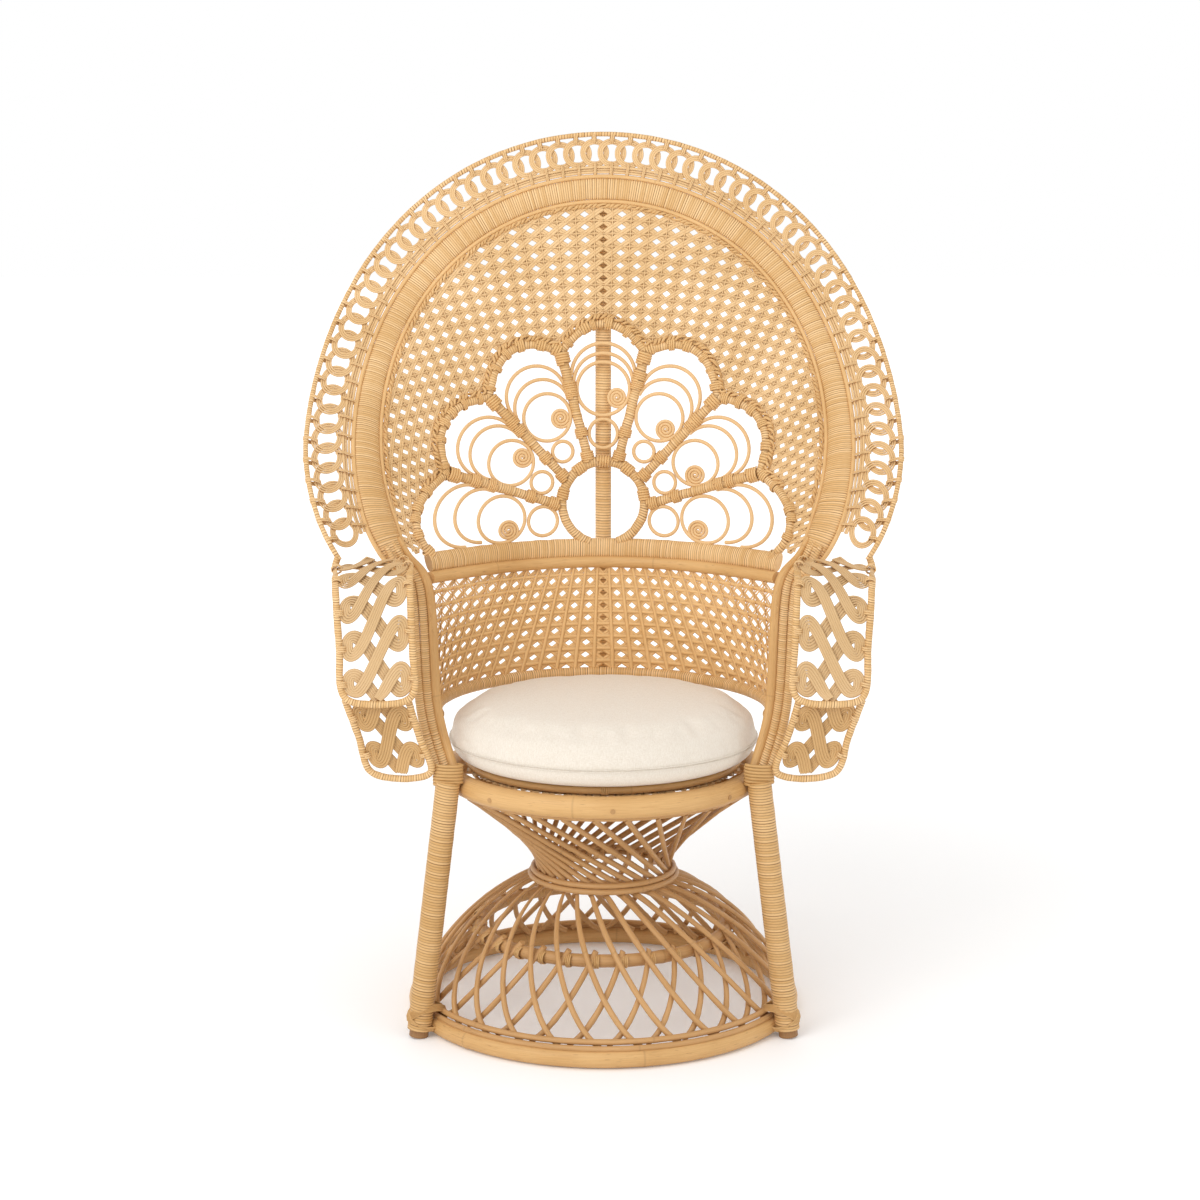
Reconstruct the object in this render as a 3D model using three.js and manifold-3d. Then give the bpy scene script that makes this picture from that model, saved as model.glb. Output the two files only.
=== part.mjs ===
// A peacock chair of bent and bound rattan: a twisted hourglass base, a round seat with a loose cushion,
// a caned surround, a tall concave fan with a seven-petal flower, and two open lace arms.
// Millimetres, +Z up. The chair faces -Y and stands on the floor at z = 0.

import * as THREE from 'three';
import { mergeVertices } from 'three/addons/utils/BufferGeometryUtils.js';
import Module from 'manifold-3d';

const wasm = await Module();
wasm.setup();

// Fits shared by all pieces
const CLEAR = 0.4;
const NAILED = 4;
const NESTED = 1.2;
const DEGREE = Math.PI / 180;

// Base: a pole on the floor, two trim canes on it, and the cane hourglass
const BASE_RADIUS = 325;
const BASE_POLE = 15;
const TRIM_CANE = 5;
const TRIM_SHIFT = 2;
const CANE = 5;
const CANE_COUNT = 30;
const WAIST_RADIUS = 113;
const WAIST_DROP = 17;
const BELL_ROUNDNESS = 1.42;
const BELL_TURN = 35 * DEGREE;
const TIE_POLE = 11;
const TIE_SHARE = 0.47;
const FOOT_SHARE = 0.8;
const BELL_START = 0.05;
const HOOP_SHARE = 0.08;

// Seat: front pole, trim cane below it, cross-bars, woven deck and the cane round the deck
const SEAT_Z = 415;
const SEAT_Y = 10;
const SEAT_RADIUS = 262;
const SEAT_POLE = 18.5;
const SEAT_SEGMENTS = 24;
const BAR_POLE = 9;
const BAR_PITCH = 105;
const DECK_THICK = 5;
const DECK_CANE = 6.5;
const DECK_SETBACK = 23;
const CUSHION_RADIUS = SEAT_RADIUS;
const CUSHION_Y = -6;
const CUSHION_THICK = 88;
const CUSHION_SEAM = 36;
const CUSHION_LIFTED_EDGE = 30;

// Legs and the bundles of poles that rise from them
const LEG_POLE = 20.5;
const LEG_CORE = 16;
const LEG_BARE_END = 14;
const LEG_ANGLE = 30 * DEGREE;
const LEG_ABOVE_SEAT = 16;
const POST_POLE = 7;
const POST_COUNT = 3;
const POST_SLANT = 1.35;

// Caned surround between a lower and an upper rail
const LOWER_RAIL_Z = SEAT_Z + 115;
const LOWER_RAIL = 11;
const LOWER_RAIL_SWEEP = 103 * DEGREE;
const UPPER_RAIL_Z = LOWER_RAIL_Z + 205;
const UPPER_RAIL = 11;
const WEB_THICK = 4;
const WEB_HOLE = 0.62;
const WEB_MARGIN = 4;
const BACK_POST = 15;

// Fan: a concave back, flat at the top and curled forward at the sides. It grows with the band's radius.
const BAND_RADIUS = 416;
const BAND_WIDTH = 36;
const BAND_THICK = 14;
const BAND_SWEEP = 121 * DEGREE;
const UPPER_RAIL_HALF = 0.7284 * BAND_RADIUS;
const BACK_Y = SEAT_Y + SEAT_RADIUS + 18;
const BACK_LEAN = 0.118;
const BACK_CURL = 0.853 / BAND_RADIUS;
const BACK_FLAT_Z = UPPER_RAIL_Z + 1.647 * BAND_RADIUS;
const FAN_Z = UPPER_RAIL_Z + 0.613 * BAND_RADIUS;
const FAN_PINCH = 0.33;
const PINCH_START = 92 * DEGREE;
const PINCH_SPAN = 22 * DEGREE;
const FAN_STEPS = 24;
const EDGE_CANE = 4;
const CHAIN_WIDTH = 66;
const CHAIN_LOOPS = 60;
const CHAIN_SWEEP = 112 * DEGREE;
const CHAIN_THICK = 6;
const RIM_POLE = 4.5;
const RIM_SWEEP = 113 * DEGREE;
const RIM_RADIUS = BAND_RADIUS + BAND_WIDTH / 2 + 2 * EDGE_CANE + CHAIN_WIDTH + RIM_POLE + 3 * CLEAR;

// Flower: seven petals round a horseshoe arch, on a base band over the upper rail
const FOCUS_Z = UPPER_RAIL_Z + 0.185 * BAND_RADIUS;
const PETALS = 7;
const PETAL_STEP = 28.6 * DEGREE;
const PETAL_VALLEY = 0.702 * BAND_RADIUS;
const PETAL_BULGE = 0.13 * PETAL_VALLEY;
const PETAL_SPANS = 6;
const PETAL_TALL = 0.07;
const BOUND_POLE = 8;
const ARCH_RADIUS = 0.257 * PETAL_VALLEY;
const ARCH_Z = FOCUS_Z + 0.103 * PETAL_VALLEY;
const FLOWER_BAND_HEIGHT = 26;
const FLOWER_BAND_THICK = 14;
const SCROLL_CANE = 3.2;
const CRESCENTS = [[0.836, 0.195], [0.76, 0.1575]].map((shares) => shares.map((share) => share * PETAL_VALLEY));
const LOOP_PLACE = 0.671 * PETAL_VALLEY;
const LOOP_RADIUS = 0.123 * PETAL_VALLEY;
const RING_PLACE = 0.473 * PETAL_VALLEY;
const RING_RADIUS = 0.058 * PETAL_VALLEY;
const CURL_RADIUS = 0.0514 * PETAL_VALLEY;
const CURL_TURNS = 2;

// Arms: a ribbon of lace in a bent pole, and a recessed bracket below it
const ARM_POLE = 6;
const ARM_TOP_Z = UPPER_RAIL_Z + 47;
const ARM_LIP_Z = SEAT_Z + 160;
const ARM_FRONT_Y = SEAT_Y - 0.63 * SEAT_RADIUS;
const ARM_INNER_X = UPPER_RAIL_HALF + 17;
const ARM_WIDTH = 126;
const LACE_THICK = 6;
const LACE_MARGIN = 4.5;
const LACE_START = 0.14;
const BRACKET_FOOT_Z = SEAT_Z + 33;
const BRACKET_WIDTH = 100;

const HONEY = { color: 0xdcb27a, roughness: 0.55, metalness: 0 };
const PALE = { color: 0xe6c592, roughness: 0.6, metalness: 0 };
const TAN = { color: 0xc6975f, roughness: 0.5, metalness: 0 };
const LINEN = { color: 0xeee4d6, roughness: 0.9, metalness: 0 };

const chair = new THREE.Group();

function place(name, geometry, finish) {
  const mesh = new THREE.Mesh(geometry, new THREE.MeshStandardMaterial(finish));
  mesh.name = name;
  chair.add(mesh);
}

function geometryOf(position, index) {
  const geometry = new THREE.BufferGeometry();
  geometry.setAttribute('position', new THREE.Float32BufferAttribute(position, 3));
  geometry.setIndex(index);
  return geometry;
}

// A skin over rings of points, closed by two flat ends or joined from the last ring to the first.
function loft(rings, joined = false) {
  const count = rings[0].length;
  const index = [];
  const spans = joined ? rings.length : rings.length - 1;
  for (let i = 0; i < spans; i += 1) {
    const here = i * count;
    const next = ((i + 1) % rings.length) * count;
    for (let j = 0; j < count; j += 1) {
      const k = (j + 1) % count;
      index.push(here + j, here + k, next + k, here + j, next + k, next + j);
    }
  }
  const last = (rings.length - 1) * count;
  for (let j = 1; j < count - 1 && !joined; j += 1) {
    index.push(0, j + 1, j, last, last + j, last + j + 1);
  }
  return geometryOf(rings.flat().flatMap((point) => point.toArray()), index);
}

// A round pole or cane with a ring of corners at each point, its ends cut square or closed into a hoop.
function pole(points, radius, sides, closed = false) {
  const count = points.length;
  const at = (i) => points[closed ? (i + count) % count : THREE.MathUtils.clamp(i, 0, count - 1)];
  const normal = new THREE.Vector3(0.31, 0.17, 0.93);
  const rings = points.map((centre, i) => {
    const along = at(i + 1).clone().sub(at(i - 1)).normalize();
    normal.addScaledVector(along, -normal.dot(along)).normalize();
    const beside = along.clone().cross(normal);
    return Array.from({ length: sides }, (unused, j) => {
      const angle = (j + 0.5) * 2 * Math.PI / sides;
      return centre.clone()
        .addScaledVector(normal, radius * Math.cos(angle))
        .addScaledVector(beside, radius * Math.sin(angle));
    });
  });
  return loft(rings, closed);
}

const sampled = (count, from, to, at) => Array.from(
  { length: count + 1 },
  (unused, i) => at(from + (to - from) * i / count),
);

const smooth = (points, steps) => new THREE.CatmullRomCurve3(points, false, 'centripetal').getSpacedPoints(steps);

// A level hoop round the Z axis, or round a line beside it. A loose one has its flats at the ring radius,
// so that it clears what it goes round.
function hoop(ringRadius, radius, z, y, sides, segments) {
  return new THREE.TorusGeometry(ringRadius, radius, sides, segments).translate(0, y, z);
}

// The distance from a hoop's centre to its flat side in the direction of an angle.
function facetRadius(radius, angle, segments) {
  const half = Math.PI / segments;
  return radius * Math.cos(half) / Math.cos(THREE.MathUtils.euclideanModulo(angle, 2 * half) - half);
}

const looseHoop = (ringRadius, radius, z, sides, segments) => hoop(
  ringRadius / Math.cos(Math.PI / segments), radius, z, 0, sides, segments,
);

function solidOf(geometry) {
  const bare = geometry.clone();
  bare.deleteAttribute('normal');
  bare.deleteAttribute('uv');
  const merged = mergeVertices(bare);
  return new wasm.Manifold(new wasm.Mesh({
    numProp: 3,
    vertProperties: new Float32Array(merged.attributes.position.array),
    triVerts: new Uint32Array(merged.index.array),
  }));
}

function geometryFrom(solid) {
  const mesh = solid.getMesh();
  return geometryOf(Array.from(mesh.vertProperties), Array.from(mesh.triVerts));
}

function fuse(geometries) {
  return geometryFrom(geometries.map(solidOf).reduce((whole, next) => whole.add(next)));
}

// The same piece for the other side of the chair.
function mirrored(geometry) {
  const other = geometry.clone().scale(-1, 1, 1);
  const index = Array.from(other.index.array);
  for (let i = 0; i < index.length; i += 3) {
    [index[i + 1], index[i + 2]] = [index[i + 2], index[i + 1]];
  }
  return geometryOf(Array.from(other.attributes.position.array), index);
}

function placePair(name, geometry, finish) {
  place(`${name}_right`, geometry, finish);
  place(`${name}_left`, mirrored(geometry), finish);
}

// An open-work sheet of columns by rows of cells with a hole in each. The place function gives the point
// at a share across and up, on the front (1) or the back (-1) face.
function openwork(columns, rows, hole, corners, point) {
  const cell = [[0, 0], [1, 0], [1, 1], [0, 1]].map(([u, v]) => new THREE.Vector2(u, v));
  const opening = [];
  for (let i = 0; i < corners; i += 1) {
    const angle = -i * 2 * Math.PI / corners;
    opening.push(new THREE.Vector2(0.5 + 0.5 * hole * Math.cos(angle), 0.5 + 0.5 * hole * Math.sin(angle)));
  }
  const faces = THREE.ShapeUtils.triangulateShape(cell, [opening]);
  const spots = new Map();
  const shares = [];
  const spot = (u, v) => {
    const key = `${u.toFixed(4)},${v.toFixed(4)}`;
    if (!spots.has(key)) {
      spots.set(key, shares.length);
      shares.push([u / columns, v / rows]);
    }
    return spots.get(key);
  };
  const front = [];
  for (let i = 0; i < columns; i += 1) {
    for (let j = 0; j < rows; j += 1) {
      const ids = [...cell, ...opening].map((p) => spot(i + p.x, j + p.y));
      faces.forEach(([a, b, c]) => front.push([ids[a], ids[b], ids[c]]));
    }
  }
  const edges = new Set();
  front.forEach(([a, b, c]) => [[a, b], [b, c], [c, a]].forEach(([p, q]) => edges.add(`${p} ${q}`)));
  const total = shares.length;
  const index = [];
  front.forEach(([a, b, c]) => {
    index.push(a, b, c, a + total, c + total, b + total);
    [[a, b], [b, c], [c, a]].forEach(([p, q]) => {
      if (!edges.has(`${q} ${p}`)) {
        index.push(p, p + total, q + total, p, q + total, q);
      }
    });
  });
  const position = [1, -1].flatMap((side) => shares.flatMap(([u, v]) => point(u, v, side).toArray()));
  return geometryOf(position, index);
}

// Base ring and the lower of its two trim canes. Its ten-sided section lies on one flat side.
const BASE_SIDES = 10;
const BASE_SEGMENTS = 20;
const basePoleZ = BASE_POLE * Math.cos(Math.PI / BASE_SIDES);
const baseTop = 2 * basePoleZ;
const lowerTrimZ = baseTop + CLEAR + TRIM_CANE - NESTED;
const upperTrimZ = lowerTrimZ + 2 * TRIM_CANE + CLEAR - NESTED;
const trimRadius = BASE_RADIUS + TRIM_SHIFT;
place('base_ring', hoop(BASE_RADIUS, BASE_POLE, basePoleZ, 0, BASE_SIDES, BASE_SEGMENTS), HONEY);
place('base_trim_cane', looseHoop(trimRadius, TRIM_CANE, lowerTrimZ, 5, BASE_SEGMENTS), TAN);

// Hourglass: a straight-lined cone above the waist and a round bell below it.
const seatTrimZ = SEAT_Z - SEAT_POLE - TRIM_CANE + 2 * NESTED;
const seatTrimRadius = SEAT_RADIUS - 2 * TRIM_CANE;
const coneTop = seatTrimZ - TRIM_CANE + NAILED - 2 * NESTED;
const coneSpread = Math.sqrt(seatTrimRadius ** 2 - WAIST_RADIUS ** 2);
const waistZ = 0.59 * SEAT_Z;
const bellTop = waistZ - WAIST_DROP;
const bellFoot = baseTop + CANE + CLEAR - NESTED;
const bellRadius = trimRadius - TRIM_CANE - CANE - CLEAR;

function hourglass(share) {
  if (share <= 0) {
    const spread = -share * coneSpread;
    return {
      radius: Math.hypot(WAIST_RADIUS, spread),
      z: waistZ - share * (coneTop - waistZ),
      turn: -Math.atan2(spread, WAIST_RADIUS),
      y: -share * SEAT_Y,
    };
  }
  const angle = share * Math.PI / 2;
  const power = 2 / BELL_ROUNDNESS;
  return {
    radius: WAIST_RADIUS + (bellRadius - WAIST_RADIUS) * Math.sin(angle) ** power,
    z: bellFoot + (bellTop - bellFoot) * Math.max(0, Math.cos(angle)) ** power,
    turn: BELL_TURN * share,
    y: 0,
  };
}

// A spot in the bell's inner layer, set in from the outer canes.
function innerLayer(share, depth) {
  const here = hourglass(share);
  const before = hourglass(share - 0.01);
  const after = hourglass(Math.min(1, share + 0.01));
  const slope = new THREE.Vector2(after.radius - before.radius, after.z - before.z).normalize();
  return { radius: here.radius + slope.y * depth, z: here.z - slope.x * depth, turn: -here.turn, y: 0 };
}

function roundAxis({ radius, z, turn, y }, start) {
  return new THREE.Vector3(radius * Math.sin(start + turn), y - radius * Math.cos(start + turn), z);
}

const HALF_SEGMENTS = 11;

// Half of a layer of canes, nailed to their half of a hoop. The hoop is joined of two bent lengths.
function caneHalf(half, spots, hoopSpot, hoopPole, sides) {
  const step = 2 * Math.PI / CANE_COUNT;
  const count = CANE_COUNT / 2;
  const first = half * count * step;
  const joint = (CLEAR / 2 + hoopPole * Math.sin(Math.PI / 2 / HALF_SEGMENTS)) / hoopSpot.radius;
  const from = first - step / 2 + joint;
  const to = first + (count - 0.5) * step - joint;
  const bend = sampled(HALF_SEGMENTS, from, to, (start) => roundAxis(hoopSpot, start));
  const pieces = [pole(bend, hoopPole, sides)];
  for (let i = 0; i < count; i += 1) {
    pieces.push(pole(spots.map((spot) => roundAxis(spot, first + i * step)), CANE, 4));
  }
  return fuse(pieces);
}

// The cone's canes are nailed to the trim cane under the seat, the bell's to the upper trim cane of the base,
// and the counter canes inside the bell to a tie ring at their upper ends.
const layerDepth = 2 * CANE + CLEAR;
const coneSpots = [-1, 0].map(hourglass);
const bellSpots = [BELL_START, 0.18, TIE_SHARE, FOOT_SHARE, 1].map(hourglass);
const counterSpots = [TIE_SHARE - 0.03, FOOT_SHARE, 1].map((share) => innerLayer(share, layerDepth));
const shin = hourglass(FOOT_SHARE);
const toTrim = (upperTrimZ - bellFoot) / (shin.z - bellFoot);
const nailedRadius = bellRadius + (shin.radius - bellRadius) * toTrim;
const seatTrim = { ...hourglass(-1), radius: seatTrimRadius, z: seatTrimZ };
const upperTrim = {
  radius: nailedRadius + CANE + TRIM_CANE - NAILED,
  z: upperTrimZ,
  turn: BELL_TURN * (1 - toTrim * (1 - FOOT_SHARE)),
  y: 0,
};
const tie = innerLayer(TIE_SHARE, layerDepth + CANE + TIE_POLE - NAILED);
['right', 'left'].forEach((side, half) => {
  place(`cone_canes_${side}`, caneHalf(half, coneSpots, seatTrim, TRIM_CANE, 5), TAN);
  place(`bell_canes_${side}`, caneHalf(half, bellSpots, upperTrim, TRIM_CANE, 4), TAN);
  place(`counter_canes_${side}`, caneHalf(half, counterSpots, tie, TIE_POLE, 5), TAN);
});

// Two hoops round the waist: the lower one lies on the bell, the upper one on it and against the cone.
const HOOP_SEGMENTS = 16;
const lowerHoop = innerLayer(HOOP_SHARE, -(CANE + TRIM_CANE + CLEAR - NESTED));
const upperHoopRadius = WAIST_RADIUS + CANE + TRIM_CANE + CLEAR - NESTED;
const hoopStep = Math.sqrt((2 * TRIM_CANE) ** 2 - (lowerHoop.radius - upperHoopRadius) ** 2) + CLEAR;
place('waist_cane_lower', looseHoop(lowerHoop.radius, TRIM_CANE, lowerHoop.z, 5, HOOP_SEGMENTS), TAN);
place('waist_cane_upper', looseHoop(upperHoopRadius, TRIM_CANE, lowerHoop.z + hoopStep, 5, HOOP_SEGMENTS), TAN);

// Seat: pole ring, cross-bars, deck and deck cane, all round the seat's own centre.
place('seat_ring', hoop(SEAT_RADIUS, SEAT_POLE, SEAT_Z, SEAT_Y, 8, SEAT_SEGMENTS), HONEY);
const seatBore = (SEAT_RADIUS - SEAT_POLE) * Math.cos(Math.PI / SEAT_SEGMENTS) - CLEAR;
['front', 'middle', 'rear'].forEach((name, i) => {
  const y = (i - 1) * BAR_PITCH;
  const reach = Math.sqrt(seatBore ** 2 - (Math.abs(y) + BAR_POLE) ** 2) + NESTED;
  const bar = new THREE.CylinderGeometry(BAR_POLE, BAR_POLE, 2 * reach, 8).rotateZ(Math.PI / 2);
  place(`seat_bar_${name}`, bar.translate(0, SEAT_Y + y, SEAT_Z), TAN);
});
const deckBase = SEAT_Z + BAR_POLE + CLEAR;
const deckRadius = SEAT_RADIUS - DECK_SETBACK;
const deck = new THREE.CylinderGeometry(deckRadius, deckRadius, DECK_THICK, 24).rotateX(Math.PI / 2);
place('seat_deck', deck.translate(0, SEAT_Y, deckBase + DECK_THICK / 2), PALE);
const deckCaneZ = deckBase + DECK_THICK + CLEAR + DECK_CANE;
place('deck_cane', hoop(deckRadius - DECK_CANE, DECK_CANE, deckCaneZ, SEAT_Y, 5, 20), TAN);

// Loose round cushion: flat below, drawn in at its seam and crowned above.
const cushionBase = deckCaneZ + DECK_CANE + CLEAR;
const crown = [
  [0, 0], [0.88, 0], [0.95, CUSHION_SEAM * 0.25], [0.985, CUSHION_SEAM * 0.65], [1, CUSHION_SEAM * 1.15],
  [0.985, CUSHION_SEAM * 1.5], [0.93, CUSHION_THICK - CUSHION_LIFTED_EDGE * 0.8],
  [0.85, CUSHION_THICK - CUSHION_LIFTED_EDGE * 0.45], [0.65, CUSHION_THICK - CUSHION_LIFTED_EDGE * 0.17],
  [0.35, CUSHION_THICK - CUSHION_LIFTED_EDGE * 0.04], [0, CUSHION_THICK],
].map(([share, z]) => new THREE.Vector2(share * CUSHION_RADIUS, z));
const cushion = new THREE.LatheGeometry(crown, 20).rotateX(Math.PI / 2);
place('seat_cushion', cushion.translate(0, CUSHION_Y, cushionBase), LINEN);

// Legs: bound poles outside the base ring and the seat ring, with a bare core at the foot.
const across = new THREE.Vector3(Math.cos(LEG_ANGLE), -Math.sin(LEG_ANGLE), 0);
const baseSide = facetRadius(BASE_RADIUS + BASE_POLE, -LEG_ANGLE, BASE_SEGMENTS);
const seatSide = facetRadius(SEAT_RADIUS + SEAT_POLE, -LEG_ANGLE, SEAT_SEGMENTS);
const legFoot = across.clone().multiplyScalar(baseSide + LEG_POLE + CLEAR);
const legSeat = across.clone().multiplyScalar(seatSide + LEG_POLE + CLEAR);
legFoot.z = basePoleZ;
legSeat.add(new THREE.Vector3(0, SEAT_Y, SEAT_Z));
const legRun = legSeat.clone().sub(legFoot).divideScalar(SEAT_Z - basePoleZ);
const legTopZ = SEAT_Z + LEG_ABOVE_SEAT;
const legAt = (z) => legFoot.clone().addScaledVector(legRun, z - basePoleZ);

function legRing(z, radius) {
  const centre = legAt(z);
  const ring = [];
  for (let j = 0; j < 12; j += 1) {
    const angle = j * 2 * Math.PI / 12;
    ring.push(centre.clone().add(new THREE.Vector3(radius * Math.cos(angle), radius * Math.sin(angle), 0)));
  }
  return ring;
}
placePair('leg', loft([
  legRing(0, LEG_CORE), legRing(LEG_BARE_END, LEG_CORE), legRing(LEG_BARE_END + 2, LEG_POLE),
  legRing(SEAT_Z / 2, LEG_POLE), legRing(legTopZ, LEG_POLE),
]), HONEY);

// The back: a concave surface that leans back and curls forward at its lower sides.
function backY(x, z) {
  const rise = THREE.MathUtils.clamp((z - UPPER_RAIL_Z) / (BACK_FLAT_Z - UPPER_RAIL_Z), 0, 1);
  return BACK_Y + BACK_LEAN * (z - UPPER_RAIL_Z) - BACK_CURL * (1 - rise) ** 2 * x * x;
}

function onBack(x, z, forward = 0) {
  const slopeX = backY(x + 0.5, z) - backY(x - 0.5, z);
  const slopeZ = backY(x, z + 0.5) - backY(x, z - 0.5);
  const normal = new THREE.Vector3(slopeX, -1, slopeZ).normalize();
  return new THREE.Vector3(x, backY(x, z), z).addScaledVector(normal, forward);
}

// Surround: rails on two levels, joined by cane webbing that stands on a ruled surface.
const postSetback = BACK_POST + LOWER_RAIL + CLEAR - NESTED;
const fanSetback = BACK_POST + BOUND_POLE;
const lowerRailRear = SEAT_Y + SEAT_RADIUS + SEAT_POLE + BACK_POST + CLEAR - postSetback;
const lowerRailRadius = lowerRailRear - CUSHION_Y;

function lowerRail(share) {
  const angle = share * LOWER_RAIL_SWEEP;
  const x = lowerRailRadius * Math.sin(angle);
  return new THREE.Vector3(x, CUSHION_Y + lowerRailRadius * Math.cos(angle), LOWER_RAIL_Z);
}

function upperRail(share) {
  return onBack(share * UPPER_RAIL_HALF, UPPER_RAIL_Z);
}

const lowerRailEnd = 1 - LOWER_RAIL / (lowerRailRadius * LOWER_RAIL_SWEEP);
const upperRailEnd = 1 - UPPER_RAIL / UPPER_RAIL_HALF;
place('surround_lower_rail', pole(sampled(15, -lowerRailEnd, lowerRailEnd, lowerRail), LOWER_RAIL, 6), HONEY);
place('surround_upper_rail', pole(sampled(14, -upperRailEnd, upperRailEnd, upperRail), UPPER_RAIL, 6), HONEY);

function surround(share, rise, forward) {
  const low = lowerRail(share);
  const line = upperRail(share).sub(low);
  const along = lowerRail(share + 0.01).sub(lowerRail(share - 0.01)).normalize();
  const out = along.clone().cross(line).normalize();
  return low.addScaledVector(line, rise).addScaledVector(out, forward);
}
const railSpan = UPPER_RAIL_Z - LOWER_RAIL_Z;
const webLow = (LOWER_RAIL + CLEAR) / railSpan;
const webHigh = 1 - (UPPER_RAIL + CLEAR) / railSpan;
const webMiddle = CLEAR / 2 / lowerRailRadius;
placePair('surround_web', openwork(5, 4, WEB_HOLE, 4, (u, v, side) => surround(
  webMiddle + (1 - webMiddle) * u,
  webLow + (webHigh - webLow) * v,
  side * WEB_THICK / 2,
)), PALE);

// Back post behind the seat ring, the rails and the fan.
const backPost = [
  new THREE.Vector3(0, lowerRailRear + postSetback, SEAT_Z - SEAT_POLE),
  new THREE.Vector3(0, lowerRailRear + postSetback, LOWER_RAIL_Z),
  onBack(0, UPPER_RAIL_Z + UPPER_RAIL, -postSetback),
  onBack(0, FAN_Z, -fanSetback),
  onBack(0, FAN_Z + BAND_RADIUS, -fanSetback),
];
place('back_post', pole(smooth(backPost, 8), BACK_POST, 8), HONEY);

// Bundles of slim poles from the leg tops along the front edges of the surround.
for (let i = 0; i < POST_COUNT; i += 1) {
  const shift = new THREE.Vector3(i * (2 * POST_POLE + CLEAR), 0, 0);
  const beyond = (rail) => {
    const along = rail(1).sub(rail(0.98)).normalize();
    return rail(1).addScaledVector(along, POST_POLE * POST_SLANT + CLEAR).add(shift);
  };
  const start = legAt(legTopZ + CLEAR + POST_POLE / 2).add(shift);
  start.x -= (POST_COUNT - 1) / 2 * (2 * POST_POLE + CLEAR);
  const top = beyond(upperRail);
  const lean = top.clone().sub(beyond(lowerRail)).normalize();
  const end = top.clone().addScaledVector(lean, 24);
  placePair(`post_pole_${i + 1}`, pole(smooth([start, beyond(lowerRail), top, end], 5), POST_POLE, 5), HONEY);
}

// Fan rim, band, edge canes and the chain of loops, in turns round the fan's centre. Outside the band the
// fan narrows towards its lower ends.
const bandIn = BAND_RADIUS - BAND_WIDTH / 2;
const bandOut = BAND_RADIUS + BAND_WIDTH / 2;
const fanFlat = Math.cos(BAND_SWEEP / FAN_STEPS);
function onFan(radius, angle, forward = 0) {
  const past = Math.max(0, Math.abs(angle) - PINCH_START) / PINCH_SPAN;
  const pinched = radius - Math.max(0, radius - bandOut) * FAN_PINCH * past ** 1.3;
  return onBack(pinched * Math.sin(angle), FAN_Z + pinched * Math.cos(angle), forward);
}

const fanPole = (radius, sweep, thick) => pole(
  sampled(FAN_STEPS, -sweep, sweep, (angle) => onFan(radius, angle)), thick, 4,
);
place('fan_rim', fanPole(RIM_RADIUS, RIM_SWEEP, RIM_POLE), HONEY);
const edgeIn = bandIn - CLEAR - EDGE_CANE;
const edgeOut = bandOut + CLEAR + EDGE_CANE;
place('band_edge_inner', fanPole(edgeIn, BAND_SWEEP, EDGE_CANE), HONEY);
place('band_edge_outer', fanPole(edgeOut, BAND_SWEEP, EDGE_CANE), HONEY);
const bandSection = [[bandIn, -1], [bandOut, -1], [bandOut, 1], [bandIn, 1]];
place('fan_band', loft(sampled(FAN_STEPS, -BAND_SWEEP, BAND_SWEEP, (angle) => bandSection.map(
  ([radius, side]) => onFan(radius, angle, side * BAND_THICK / 2),
))), HONEY);
const chainIn = edgeOut + EDGE_CANE + CLEAR;
const chainOut = (RIM_RADIUS - RIM_POLE) * fanFlat - CLEAR;
place('loop_chain', openwork(CHAIN_LOOPS, 1, 0.72, 4, (u, v, side) => onFan(
  chainIn + (chainOut - chainIn) * v,
  CHAIN_SWEEP * (2 * u - 1),
  side * CHAIN_THICK / 2,
)), PALE);

// Base band of the flower, on the upper rail.
const flowerBandLow = UPPER_RAIL_Z + UPPER_RAIL + CLEAR;
const flowerBandTop = flowerBandLow + FLOWER_BAND_HEIGHT;
place('flower_base_band', loft(sampled(12, -UPPER_RAIL_HALF, UPPER_RAIL_HALF, (x) => [
  onBack(x, flowerBandLow, FLOWER_BAND_THICK / 2), onBack(x, flowerBandLow, -FLOWER_BAND_THICK / 2),
  onBack(x, flowerBandTop, -FLOWER_BAND_THICK / 2), onBack(x, flowerBandTop, FLOWER_BAND_THICK / 2),
])), HONEY);

// Flower outline: seven round petals about a focus low in the fan, ending on the base band.
const petalEnd = Math.acos((flowerBandTop + BOUND_POLE * 0.6 - FOCUS_Z) / PETAL_VALLEY);

function petalEdge(angle) {
  const nearest = Math.round(angle / PETAL_STEP);
  const bump = Math.cos(Math.PI * (angle / PETAL_STEP - nearest));
  return (PETAL_VALLEY + PETAL_BULGE * bump) * (1 + PETAL_TALL * Math.cos(angle) ** 2);
}

const onFlower = (radius, angle, forward = 0) => onBack(
  radius * Math.sin(angle),
  FOCUS_Z + radius * Math.cos(angle),
  forward,
);
place('flower_outline', pole(sampled(PETALS * PETAL_SPANS, -PETALS / 2, PETALS / 2, (petal) => {
  const angle = THREE.MathUtils.clamp(petal * PETAL_STEP, -petalEnd, petalEnd);
  return onFlower(petalEdge(angle), angle);
}), BOUND_POLE, 6), HONEY);

// Cane webbing between the flower outline and the band.
const webFan = 101 * DEGREE;
const webFlower = 2.5 * PETAL_STEP;
placePair('fan_web', openwork(10, 4, WEB_HOLE, 4, (u, v, side) => {
  const flower = CLEAR / PETAL_VALLEY + (webFlower - CLEAR / PETAL_VALLEY) * u;
  const fan = CLEAR / edgeIn + (webFan - CLEAR / edgeIn) * u;
  const low = onFlower(petalEdge(flower) + BOUND_POLE + WEB_MARGIN, flower);
  const high = onFan((edgeIn - EDGE_CANE) * fanFlat - CLEAR + NESTED, fan);
  return onBack(low.x + (high.x - low.x) * v, low.z + (high.z - low.z) * v, side * WEB_THICK / 2);
}), PALE);

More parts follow.
